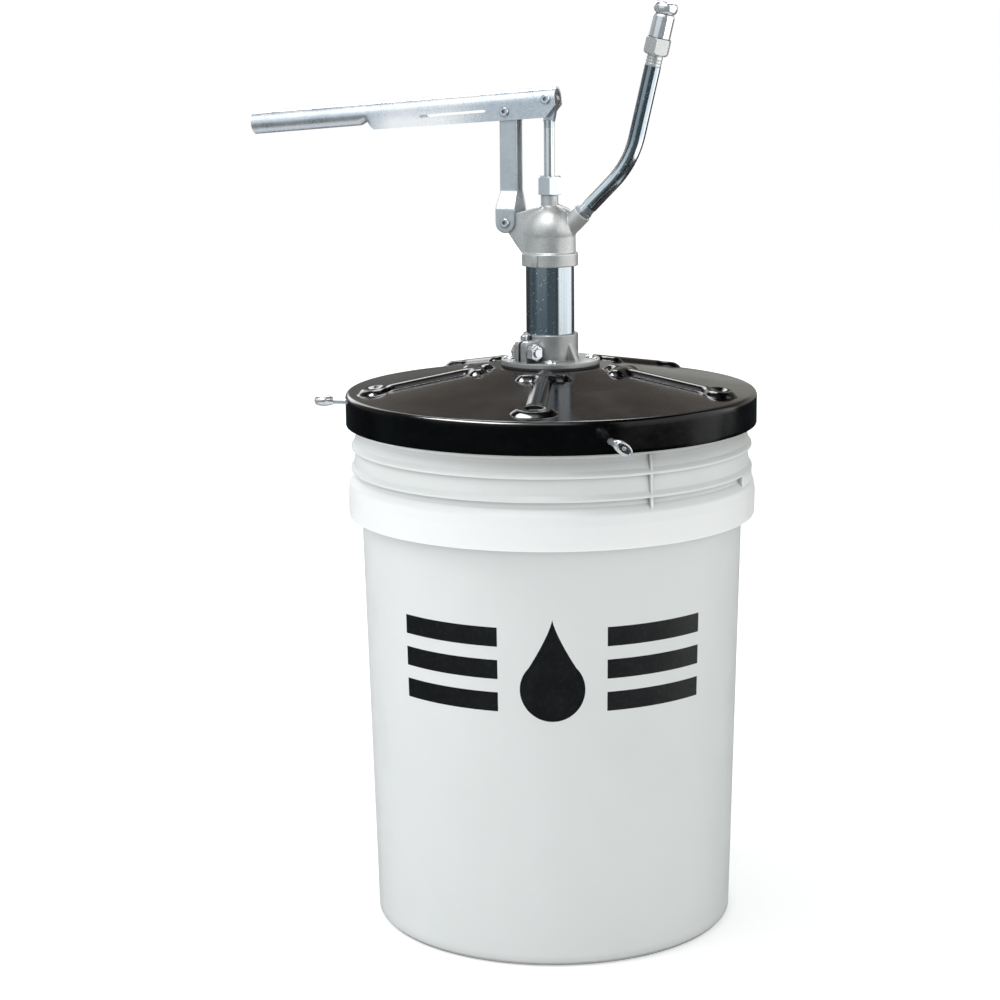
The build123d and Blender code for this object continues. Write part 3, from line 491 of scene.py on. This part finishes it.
# painted shade: the flange gets a darker copy of the head's casting material
slots["flange"] = "casting_shaded"
slots["coupler_nut"] = slots["coupler_ferrule"] = "coupler_zinc"
for name, piece in frame["nodes"].items():
    piece.data.materials.clear()
    piece.data.materials.append(MATS[slots[name]])
    piece.modifiers.new("weld", "WELD").merge_threshold = 1e-6
    if name in REMESH:
        soften_casting(piece, *REMESH[name])
    else:
        crisp_edges(piece, BEVEL.get(name))
    piece.data.shade_smooth()


# ------------------------------------------------------------------ mesh helpers
def mesh_object(name, verts, faces, material):
    mesh = bpy.data.meshes.new(name)
    mesh.from_pydata([tuple(v) for v in verts], [], faces)
    mesh.validate()
    mesh.update()
    piece = bpy.data.objects.new(name, mesh)
    bpy.context.scene.collection.objects.link(piece)
    mesh.materials.append(material)
    mesh.shade_smooth()
    return piece


def fit_to_frame(piece, part, replaces=False):
    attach(piece, part)
    if replaces:
        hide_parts(part)


def polar(angle, r, z, side=0.0):
    """A point in metres at angle (degrees) and r, moved sideways by side. Lengths in mm."""
    a = math.radians(angle)
    x = r * math.cos(a) - side * math.sin(a)
    y = r * math.sin(a) + side * math.cos(a)
    return (x * MM, y * MM, z * MM)


def rounded(points, steps=4):
    """A closed outline of (r, z, corner radius) with each corner rounded, as (r, z)."""
    straight = math.radians(87)  # half angle beyond which a corner is left alone
    out = []
    for i, (*corner, radius) in enumerate(points):
        p = np.array(corner, float)
        a = np.array(points[i - 1][:2], float) - p
        b = np.array(points[(i + 1) % len(points)][:2], float) - p
        length_a, length_b = np.linalg.norm(a), np.linalg.norm(b)
        a, b = a / length_a, b / length_b
        half = math.acos(max(-1, min(1, float(a @ b)))) / 2
        if radius <= 0 or half > straight:
            out.append(tuple(p))
            continue
        cut = min(radius / math.tan(half), length_a * 0.45, length_b * 0.45)
        start, end = p + a * cut, p + b * cut
        for k in range(steps + 1):
            t = k / steps
            out.append(tuple((1 - t) ** 2 * start + 2 * t * (1 - t) * p + t**2 * end))
    return out


def ring_faces(segments, rings, flip=False):
    """Quads round a closed outline of rings points, turned through segments places."""
    faces = []
    for i in range(segments):
        here, there = i * rings, (i + 1) % segments * rings
        for k in range(rings):
            m = (k + 1) % rings
            if flip:
                faces.append((here + k, here + m, there + m, there + k))
            else:
                faces.append((here + k, there + k, there + m, here + m))
    return faces


def lathe(name, outline, material, segments):
    angles = np.linspace(0, 2 * math.pi, segments, endpoint=False)
    verts = [
        (r * math.cos(a) * MM, r * math.sin(a) * MM, z * MM) for a in angles for r, z in outline
    ]
    return mesh_object(name, verts, ring_faces(segments, len(outline)), material)


# ------------------------------------------------------------------ pail
FLOOR_UNDER, FLOOR_TOP = 1.3, 3.0  # pail floor, z in mm

# (r, z, corner radius) in mm: under the floor, up the outside, then down the inside
PAIL_OUTLINE = [
    (4, FLOOR_UNDER, 0), (122.4, FLOOR_UNDER, 0.4), (123.2, 0.2, 0.4), (128.6, 0.0, 1.5),
    (131.0, 2.6, 2.5), (138.0, 300.8, 0.6), (138.4, 320.6, 2),
    # wide band, open below
    (144.7, 320.6, 2), (144.7, 301.2, 0.5), (147.2, 300.9, 0.9), (147.6, 318.0, 4.0),
    (146.4, 325.0, 4.5), (142.0, 330.2, 2.0), (141.2, 333.9, 0.6),
    # lower ring
    (145.3, 334.2, 0.5), (145.2, 335.9, 0.9), (143.2, 338.6, 3.0), (142.0, 346.4, 3.0),
    (141.2, 349.9, 0.6),
    # upper ring
    (144.9, 350.2, 0.5), (144.8, 351.9, 0.9), (142.8, 354.6, 3.0), (141.1, 360.4, 2.0),
    (140.9, 363.3, 0.6),
    # rim
    (143.2, 364.4, 0.8), (143.0, 384.4, 0.8), (142.0, 385.4, 0.8), (140.0, 385.4, 0.8),
    (139.0, 384.0, 0.8),
    # inside
    (138.8, 330.0, 1), (135.4, 300.0, 1), (128.4, 5.6, 2.0), (125.5, FLOOR_TOP, 1.5),
    (4, FLOOR_TOP, 0),
]
pail_body = lathe("pail_moulding", rounded(PAIL_OUTLINE), MATS["pail"], segments=288)
fit_to_frame(pail_body, "pail", replaces=True)

# a disc closes the middle of the floor
DISC_OUTLINE = [(0.01, FLOOR_UNDER), (5, FLOOR_UNDER), (5, FLOOR_TOP), (0.01, FLOOR_TOP)]
floor_disc = lathe("pail_floor_disc", DISC_OUTLINE, MATS["pail"], segments=48)
fit_to_frame(floor_disc, "pail")


def upright(name, outline, stations, bevel):
    """A solid on the pail's wall: its outline (r, z) at each station (angle, side)."""
    n = len(outline)
    verts = [polar(angle, r, z, side) for angle, side in stations for r, z in outline]
    last = (len(stations) - 1) * n
    faces = [tuple(range(n)), tuple(range(last + n - 1, last - 1, -1))]
    for a in range(0, last, n):
        b = a + n
        faces += [(a + (k + 1) % n, a + k, b + k, b + (k + 1) % n) for k in range(n)]
    piece = mesh_object(name, verts, faces, MATS["pail"])
    add_bevel(piece, bevel)
    fit_to_frame(piece, "pail")


# (r, z) in mm
GUSSET_OUTLINE = [
    (140.2, 326.0), (145.4, 325.8), (144.9, 334.8), (144.6, 350.8), (144.3, 358.0),
    (142.8, 364.8), (140.2, 364.8),
]
EAR_PAD_OUTLINE = [(140.2, 324.6), (145.4, 324.6), (145.0, 334.9), (140.2, 334.9)]
GUSSET_ANGLE, GUSSET_HALF_THICKNESS = -42.0, 1.0
EAR_PAD_ANGLE, EAR_PAD_SWEEP, EAR_PAD_STEPS = -2.0, 16.0, 10

for i in range(2):
    angle = GUSSET_ANGLE + 180.0 * i
    stations = [(angle, -GUSSET_HALF_THICKNESS), (angle, GUSSET_HALF_THICKNESS)]
    upright(f"pail_gusset_{i}", GUSSET_OUTLINE, stations, bevel=0.5)
for i in range(2):
    angle = EAR_PAD_ANGLE + 180.0 * i
    stations = [
        (angle + EAR_PAD_SWEEP * k / EAR_PAD_STEPS, 0.0) for k in range(EAR_PAD_STEPS + 1)
    ]
    upright(f"pail_ear_pad_{i}", EAR_PAD_OUTLINE, stations, bevel=0.6)

# ------------------------------------------------------------------ cover (mm and degrees)
COVER_SEGMENTS = 1440
SHEET = 1.4
HUB_RADIUS, HUB_Z = 42.0, 407.2  # flat hub, its top face
CONE_RUN, CONE_DROP = 103.3, 17.6  # the cone outside the hub
FOLD_R, FOLD_Z, FOLD_RADIUS = 144.9, 386.2, 3.4  # centre and outer radius of the folded edge
FOLD_START = 80.0
SKIRT_OUTER = FOLD_R + FOLD_RADIUS
SKIRT_INNER = SKIRT_OUTER - SHEET
SKIRT_LIP = [(148.15, 366.7), (147.6, 366.5), (147.05, 366.7), (SKIRT_INNER, 367.2)]

RIB_PITCH, RIB_ANGLE = 72.0, -75.0
RIB_HALF_WIDTH = 6.4
RIB_HEIGHT = 3.6
RIB_FLANK = 6.8  # width over which the rib falls to the sheet
RIB_FLANK_POWER = 2.4
STEM_START, STEM_END = 40.0, 124.0
BAR_R, BAR_HALF_LENGTH = 56.5, 13.0  # cross bar at the rib's inner end
OVAL_R, OVAL_HALF_LENGTH, OVAL_HALF_WIDTH = 129.5, 11.0, 15.6
OVAL_SCALE = 12.5  # turns the oval's relative distance into mm
STEM_BAR_BLEND, OVAL_BLEND = 5.0, 6.0
OVAL_DIP = 2.0


def smoothstep(start, end, x):
    t = np.clip((x - start) / (end - start), 0, 1)
    return t * t * (3 - 2 * t)


def capsule(x, y, start, end, radius):
    """Signed distance to a round-ended bar along x."""
    return np.hypot(x - np.clip(x, start, end), y) - radius


def smooth_min(a, b, width):
    h = np.clip(0.5 + 0.5 * (b - a) / width, 0, 1)
    return b * (1 - h) + a * h - width * h * (1 - h)


def rib_distance(r, angle):
    """Signed distances to the nearest dumb-bell rib and to the oval at its outer end."""
    half_pitch = RIB_PITCH / 2
    a = np.radians((angle - RIB_ANGLE + half_pitch) % RIB_PITCH - half_pitch)
    x, y = r * np.cos(a), r * np.sin(a)
    stem = capsule(x, y, STEM_START, STEM_END, RIB_HALF_WIDTH)
    bar = capsule(y, x - BAR_R, -BAR_HALF_LENGTH, BAR_HALF_LENGTH, RIB_HALF_WIDTH)
    oval = (np.hypot((x - OVAL_R) / OVAL_HALF_LENGTH, y / OVAL_HALF_WIDTH) - 1.0) * OVAL_SCALE
    return smooth_min(smooth_min(stem, bar, STEM_BAR_BLEND), oval, OVAL_BLEND), oval


def rib_height(r, angle):
    distance, oval = rib_distance(r, angle)
    flank = np.clip((distance + RIB_HALF_WIDTH) / RIB_FLANK, 0, 1)
    height = RIB_HEIGHT * (1 - flank**RIB_FLANK_POWER)
    # the oval dips in its middle
    height -= OVAL_DIP * (1 - smoothstep(-10.5, -4.0, oval))
    # no rib on the hub or on the folded edge
    return height * smoothstep(41.0, 47.0, r) * (1 - smoothstep(140.0, 143.8, r))


def cone_z(r, hub_z):
    return hub_z - CONE_DROP * np.clip((r - HUB_RADIUS) / CONE_RUN, 0, 1)


def fold_point(radius, degrees):
    a = math.radians(degrees)
    return (FOLD_R + radius * math.cos(a), FOLD_Z + radius * math.sin(a), 0.0)


def cover_path():
    """(r, z, weight of the rib height) down the outside, then back up the inside."""
    top = np.concatenate([np.linspace(20.0, 38.0, 8), np.linspace(39.0, 144.6, 172)])
    path = [(r, cone_z(r, HUB_Z), 1.0) for r in top]
    path += [fold_point(FOLD_RADIUS, FOLD_START - FOLD_START * k / 12) for k in range(1, 13)]
    path += [(SKIRT_OUTER, z, 0.0) for z in (384, 380, 376, 372, 369, 367.2)]
    path += [(r, z, 0.0) for r, z in SKIRT_LIP]
    path += [(SKIRT_INNER, z, 0.0) for z in (372, 380, 385.6)]
    path += [fold_point(FOLD_RADIUS - SHEET, FOLD_START * k / 6) for k in range(1, 7)]
    under_z = HUB_Z - SHEET
    path += [(r, cone_z(r, under_z), 1.0) for r in np.linspace(143.6, HUB_RADIUS, 40)]
    path += [(30.0, under_z, 1.0), (20.0, under_z, 1.0)]
    return path


def cover_mesh():
    path_r, path_z, weight = np.array(cover_path()).T
    angles = np.linspace(0, 360, COVER_SEGMENTS, endpoint=False)
    angle, r = np.meshgrid(angles, path_r, indexing="ij")
    z = path_z + rib_height(r, angle) * weight
    a = np.radians(angle)
    verts = np.stack([r * np.cos(a) * MM, r * np.sin(a) * MM, z * MM], -1).reshape(-1, 3)
    faces = ring_faces(COVER_SEGMENTS, len(path_r), flip=True)
    return mesh_object("cover_pressing", verts.tolist(), faces, MATS["cover"])


cover_shell = cover_mesh()
fit_to_frame(cover_shell, "cover", replaces=True)

# ------------------------------------------------------------------ cast pad on the head's collar
PAD_ANGLE = -103.0
PAD_INNER, PAD_OUTER = 18.5, 21.6
PAD_DRAFT = 0.5  # the foot's outer face stands this much further in
PAD_BOTTOM, PAD_TOP = 479.6, 487.8
PAD_HALF_WIDTH = 2.5


def collar_pad():
    half = PAD_HALF_WIDTH
    verts = []
    for z, outer in ((PAD_BOTTOM, PAD_OUTER - PAD_DRAFT), (PAD_TOP, PAD_OUTER)):
        for r, side in ((PAD_INNER, -half), (outer, -half), (outer, half), (PAD_INNER, half)):
            verts.append(polar(PAD_ANGLE, r, z, side))
    faces = [(3, 2, 1, 0), (4, 5, 6, 7)]
    faces += [(k, (k + 1) % 4, (k + 1) % 4 + 4, k + 4) for k in range(4)]
    pad = mesh_object("head_collar_pad", verts, faces, MATS["casting"])
    add_bevel(pad, 0.7)
    fit_to_frame(pad, "pump")


collar_pad()

# ------------------------------------------------------------------ lever
# In mm from the fulcrum: u runs along the lever, w across it upwards, y sideways.
LEVER_SLOPE = math.radians(4.5)
ALONG = Vector((math.cos(LEVER_SLOPE), 0, math.sin(LEVER_SLOPE)))
UPWARD = Vector((-math.sin(LEVER_SLOPE), 0, math.cos(LEVER_SLOPE)))
HANDLE_RADIUS = 8.0
CHANNEL_NARROWING = 0.2  # the channel's top radius is this much smaller
ROUND_W = 6.7  # centre of the round top
HEEL_U, HEEL_W = 30.4, -6.4  # lowest corner of the cheeks
CHEEK_RISE, CHEEK_RUN = 1.45, 132.9  # lower edge from the heel towards the handle
HEEL_RISE, HEEL_RUN = 8.2, 7.9  # lower edge from the heel to the end
CHANNEL_STARTS = (-116.0, -104.0)  # the handle turns into the channel over these u
MOUTH = (-111.0, -101.5)  # the lower edge drops to its full depth over these u
MOUTH_GAP = 1.0  # the edge at the mouth aims this far below ROUND_W
MOUTH_STRENGTH = 0.9
SIDE_STEPS, TOP_STEPS = 14, 20
LEVER_SHEET = 1.3
SLOT_ENDS = ((-15.3, -90), (-64.7, 90))  # (u of the round end's centre, its first angle)
SLOT_W, SLOT_RADIUS, SLOT_STEPS = 1.6, 1.0, 12
SLOT_REACH = 12.0  # the cutter goes this far to each side


def lever_point(u, w, y):
    return (FULCRUM + ALONG * u + UPWARD * w + Vector((0, y, 0))) * MM


def lever_section(u):
    """Open outline (y, w) at u, from the near bottom edge over the top to the far one."""
    channel = float(smoothstep(*CHANNEL_STARTS, u))  # 0 on the round handle, 1 on the channel
    radius = HANDLE_RADIUS - CHANNEL_NARROWING * channel
    if u <= HEEL_U:
        low = HEEL_W + (HEEL_U - u) * (CHEEK_RISE / CHEEK_RUN)
    else:
        low = HEEL_W + (u - HEEL_U) * (HEEL_RISE / HEEL_RUN)
    closing = float(1 - smoothstep(*MOUTH, u)) * MOUTH_STRENGTH
    low += (ROUND_W - MOUTH_GAP - low) * closing
    # below the middle: a straight cheek on the channel, the closing arc on the handle
    near = []
    for k in range(SIDE_STEPS):
        t = k / SIDE_STEPS
        a = math.radians(-92.0 - 88.0 * t)
        arc_y, arc_w = radius * math.cos(a), ROUND_W + radius * math.sin(a)
        cheek_y, cheek_w = -radius, low + (ROUND_W - low) * t
        near.append((arc_y + (cheek_y - arc_y) * channel, arc_w + (cheek_w - arc_w) * channel))
    top = []
    for k in range(TOP_STEPS + 1):
        a = math.radians(180.0 - 180.0 * k / TOP_STEPS)
        top.append((radius * math.cos(a), ROUND_W + radius * math.sin(a)))
    return near + top + [(-y, w) for y, w in reversed(near)]


def lever_sheet():
    stations = np.concatenate(
        [
            np.linspace(-200.8, -118.0, 40),
            np.linspace(-117.0, -98.0, 44),
            np.linspace(-97.0, 29.0, 74),
            np.linspace(HEEL_U, HEEL_U + HEEL_RUN, 10),
        ]
    ).tolist()
    verts = [lever_point(u, w, y) for u in stations for y, w in lever_section(u)]
    n = 2 * SIDE_STEPS + TOP_STEPS + 1
    faces = []
    for a in range(0, (len(stations) - 1) * n, n):
        b = a + n
        faces += [(a + k, b + k, b + k + 1, a + k + 1) for k in range(n - 1)]
    sheet = mesh_object("lever_sheet", verts, faces, MATS["lever"])
    thick = sheet.modifiers.new("thick", "SOLIDIFY")
    thick.thickness = LEVER_SHEET * MM
    thick.offset = -1.0
    return sheet


def bake(piece):
    """Replaces a piece's mesh with its evaluated one and drops the modifiers."""
    depsgraph = bpy.context.evaluated_depsgraph_get()
    baked = bpy.data.meshes.new_from_object(piece.evaluated_get(depsgraph))
    piece.modifiers.clear()
    old = piece.data
    piece.data = baked
    bpy.data.meshes.remove(old)


def slot_cutter():
    """A bar with round ends that cuts the slot through both cheeks."""
    outline = []
    for centre, first in SLOT_ENDS:
        for k in range(SLOT_STEPS + 1):
            a = math.radians(first + 180 * k / SLOT_STEPS)
            outline.append((centre + SLOT_RADIUS * math.cos(a), SLOT_W + SLOT_RADIUS * math.sin(a)))
    n = len(outline)
    verts = [lever_point(u, w, y) for y in (-SLOT_REACH, SLOT_REACH) for u, w in outline]
    faces = [tuple(range(n)), tuple(range(n, 2 * n))[::-1]]
    faces += [(k, n + k, n + (k + 1) % n, (k + 1) % n) for k in range(n)]
    return mesh_object("cutter", verts, faces, MATS["lever"])


lever = lever_sheet()
bake(lever)
cutter = slot_cutter()
boolean = lever.modifiers.new("slot", "BOOLEAN")
boolean.operation = "DIFFERENCE"
boolean.object = cutter
boolean.solver = "EXACT"
bpy.context.view_layer.update()
bake(lever)
bpy.data.objects.remove(cutter)
lever.data.shade_smooth()
lever.data.set_sharp_from_angle(angle=math.radians(38))
add_bevel(lever, 0.25, segments=2, angle=math.radians(40))
fit_to_frame(lever, "lever", replaces=True)


# ------------------------------------------------------------------ floor
def floor_material():
    n = Material(
        "studio_floor", Roughness=0.9, Specular_IOR_Level=0.0, Emission_Color=(1, 1, 1, 1)
    )
    base = n.mix(n.noise(scale=3.0), under=(0.90, 0.90, 0.90), over=(0.92, 0.92, 0.92))
    n.drive("Base Color", base)
    # the floor glows more away from the pail
    x, y, z = n.axes()
    n.drive("Emission Strength", n.fit(n.radius(x, y), span=(0.13, 0.60), to=(0.42, 0.70)))
    return n.mat


# just below z = 0, clear of the pail's foot
bpy.ops.mesh.primitive_circle_add(
    vertices=96, radius=6.0, fill_type="NGON", location=(0, 0, -0.0002)
)
floor = bpy.context.object
floor.name = "studio_floor"
floor.data.materials.append(floor_material())
floor.visible_glossy = False

# ------------------------------------------------------------------ world
# Camera rays see white, glossy rays see a set of soft boxes, all others a plain tinted sky.
world = bpy.data.worlds.new("studio")
bpy.context.scene.world = world
g = Graph(world, "Generated")
x, y, z = g.axes()
to_right, to_camera = g.view_axes(x, y)
DEGREES = 180 / math.pi
# azimuth is 0 towards the camera and 90 to its right
azimuth = g.times(g.math("ARCTAN2", to_right, to_camera), DEGREES)
elevation = g.times(g.math("ARCSINE", z), DEGREES)


def band(angle, low, high, soft):
    """1 between low and high with soft edges."""
    def step(edge):
        return g.fit(angle, span=(edge - soft, edge + soft), interpolation_type="SMOOTHSTEP")

    return g.times(step(low), g.minus(1.0, step(high)))


def across(low, high, soft):
    return band(azimuth, low, high, soft)


def upwards(low, high, soft):
    return band(elevation, low, high, soft)


def reflected_boxes():
    """Adds up the soft boxes. Bands are (low, high, softness) in degrees."""
    everywhere = g.plus(g.times(azimuth, 0.0), 1.0)
    from_front = g.math("ABSOLUTE", azimuth)
    straight_back = g.plus(across(168, 190, 4), across(-190, -158, 4))
    boxes = [
        # dim surroundings
        (everywhere, (0.026, 0.031, 0.036)),
        # large right box, and a low one behind its middle
        (g.times(across(38, 122, 4), upwards(-8.4, 46, 1.2)), (1.62, 1.64, 1.66)),
        (g.times(across(84, 106, 5), upwards(-24, -8, 2)), (0.75, 0.75, 0.75)),
        # wide dim left box, front left panel, box at the back left
        (g.times(across(-112, 30, 8), upwards(-24, 26, 8)), (0.066, 0.094, 0.106)),
        (g.times(across(-70, -16, 6), upwards(-5.2, 24, 0.6)), (0.50, 0.54, 0.58)),
        (g.times(across(-167, -146, 3), upwards(6, 36, 5)), (3.0, 3.1, 3.2)),
        # high strip straight behind, and a dim glow round the back
        (g.times(straight_back, upwards(38, 60, 3)), (12.0, 12.0, 12.0)),
        (g.times(band(from_front, 100, 200, 12), upwards(12, 36, 6)), (0.25, 0.215, 0.185)),
        # low glows at the back left and back right
        (g.times(across(-200, -100, 12), upwards(-4, 16, 5)), (0.19, 0.186, 0.172)),
        (g.times(across(100, 200, 12), upwards(-4, 16, 5)), (0.46, 0.46, 0.42)),
        # overhead
        (upwards(70, 100, 6), (0.22, 0.22, 0.22)),
        # wide key on the front left, and its bright core
        (g.times(across(-88, 18, 8), upwards(22, 74, 6)), (1.15, 1.20, 1.25)),
        (g.times(across(-44, 14, 7), upwards(42, 76, 6)), (4.2, 4.2, 4.2)),
        # overhead towards the front left
        (g.times(across(-110, 40, 14), upwards(62, 100, 6)), (1.5, 1.5, 1.5)),
        # light from the floor
        (upwards(-100, -54, 8), (0.62, 0.64, 0.66)),
    ]
    first, *others = [g.mix(mask, under=(0, 0, 0), over=colour) for mask, colour in boxes]
    total = first
    for box in others:
        total = g.mix(1.0, total, box, "ADD")
    return total


def background(colour, strength=1.0):
    node = g.new("ShaderNodeBackground")
    g.put(node.inputs["Color"], colour)
    node.inputs["Strength"].default_value = strength
    return node.outputs[0]


def mix_shader(factor, first, second):
    node = g.new("ShaderNodeMixShader")
    for target, output in zip(node.inputs, (factor, first, second)):
        g.link(output, target)
    return node.outputs[0]


glossy_sky = background(reflected_boxes())
# slightly blue from the left, slightly green and weaker from the right
left_to_right = g.math("ADD", g.times(to_right, 0.5), 0.5, clamp=True)
sky_tint = g.mix(left_to_right, under=(0.98, 1.0, 1.03), over=(0.93, 0.97, 0.93))
diffuse_sky = background(sky_tint, strength=0.615)
camera_sky = background((1, 1, 1))
rays = g.new("ShaderNodeLightPath").outputs
sky = mix_shader(rays["Is Glossy Ray"], diffuse_sky, glossy_sky)
sky = mix_shader(rays["Is Camera Ray"], sky, camera_sky)
g.link(sky, g.new("ShaderNodeOutputWorld").inputs["Surface"])

# ------------------------------------------------------------------ lights
LIGHT_TARGET = Vector((0, 0, 0.4))
WHITE = (1.0, 1.0, 1.0)


def area(name, azimuth, elevation, distance, size, power, colour=WHITE, glossy=False):
    """An area light aimed at the target. It is seen either by glossy or by diffuse rays."""
    a, e = math.radians(azimuth) + VIEW_AZ, math.radians(elevation)
    direction = Vector((math.sin(a) * math.cos(e), -math.cos(a) * math.cos(e), math.sin(e)))
    light = bpy.data.lights.new(name, "AREA")
    light.shape = "RECTANGLE"
    light.size, light.size_y = size
    light.energy = power
    light.color = colour
    lamp = bpy.data.objects.new(name, light)
    bpy.context.scene.collection.objects.link(lamp)
    lamp.location = LIGHT_TARGET + direction * distance
    lamp.rotation_mode = "QUATERNION"
    lamp.rotation_quaternion = (-direction).to_track_quat("-Z", "Y")
    lamp.visible_glossy = glossy
    lamp.visible_diffuse = not glossy
    lamp.visible_camera = False
    return lamp


def light_only(lamp, group_name, pieces):
    """The light reaches these pieces alone."""
    group = bpy.data.collections.new(group_name)
    for piece in pieces:
        group.objects.link(piece)
    lamp.light_linking.receiver_collection = group


OUTLET_PARTS = ("outlet_tube", "coupler_ferrule", "coupler_nut", "coupler_body", "coupler_lip")

area("key_top", azimuth=-70, elevation=48, distance=2.0, size=(0.9, 0.7), power=7)
# a card on the right, reflected in the outlet and its coupler
low_card = area("low_card", azimuth=74, elevation=0, distance=0.62, size=(0.85, 0.52), power=2.8,
                glossy=True)
light_only(low_card, "leaning_parts", [frame["nodes"][part] for part in OUTLET_PARTS])
# a bright strip above on the left draws the line along the cover's fold
fold_strip = area("fold_strip", azimuth=-66, elevation=58, distance=1.6, size=(1.3, 0.55),
                  power=150, glossy=True)
light_only(fold_strip, "cover_parts", [cover_shell])
area("fill_left", azimuth=-82, elevation=25, distance=2.2, size=(1.2, 1.4), power=9,
     colour=(0.95, 0.98, 1.0))

# ------------------------------------------------------------------ camera
CAMERA_DISTANCE, CAMERA_HEIGHT = 1.70662, 0.64704  # metres from the axis and above the floor
CAMERA_LENS, CAMERA_SENSOR = 85.82472, 36.0  # mm
PITCH, ROLL, YAW = math.radians(11.24), math.radians(-0.59), math.radians(-1.26)


def add_camera():
    level = math.cos(PITCH)
    forward = Vector((math.sin(YAW) * level, math.cos(YAW) * level, -math.sin(PITCH)))
    right = Vector((math.cos(YAW), -math.sin(YAW), 0.0))
    up = right.cross(forward)
    rolled_right = right * math.cos(ROLL) + up * math.sin(ROLL)
    rolled_up = up * math.cos(ROLL) - right * math.sin(ROLL)
    turn = Matrix.Rotation(VIEW_AZ, 3, "Z")
    axes = [turn @ axis for axis in (rolled_right, rolled_up, -forward)]
    pose = Matrix(axes).transposed().to_4x4()
    pose.translation = turn @ Vector((0, -CAMERA_DISTANCE, CAMERA_HEIGHT))

    data = bpy.data.cameras.new("photo_camera")
    camera = bpy.data.objects.new("photo_camera", data)
    bpy.context.scene.collection.objects.link(camera)
    data.sensor_width = CAMERA_SENSOR
    data.lens = CAMERA_LENS
    data.clip_start = 0.05
    data.clip_end = 50.0
    camera.matrix_world = pose
    bpy.context.scene.camera = camera


add_camera()
view = bpy.context.scene.view_settings
view.view_transform = "Standard"
view.look = "None"
view.exposure = 0.0
view.gamma = 1.0
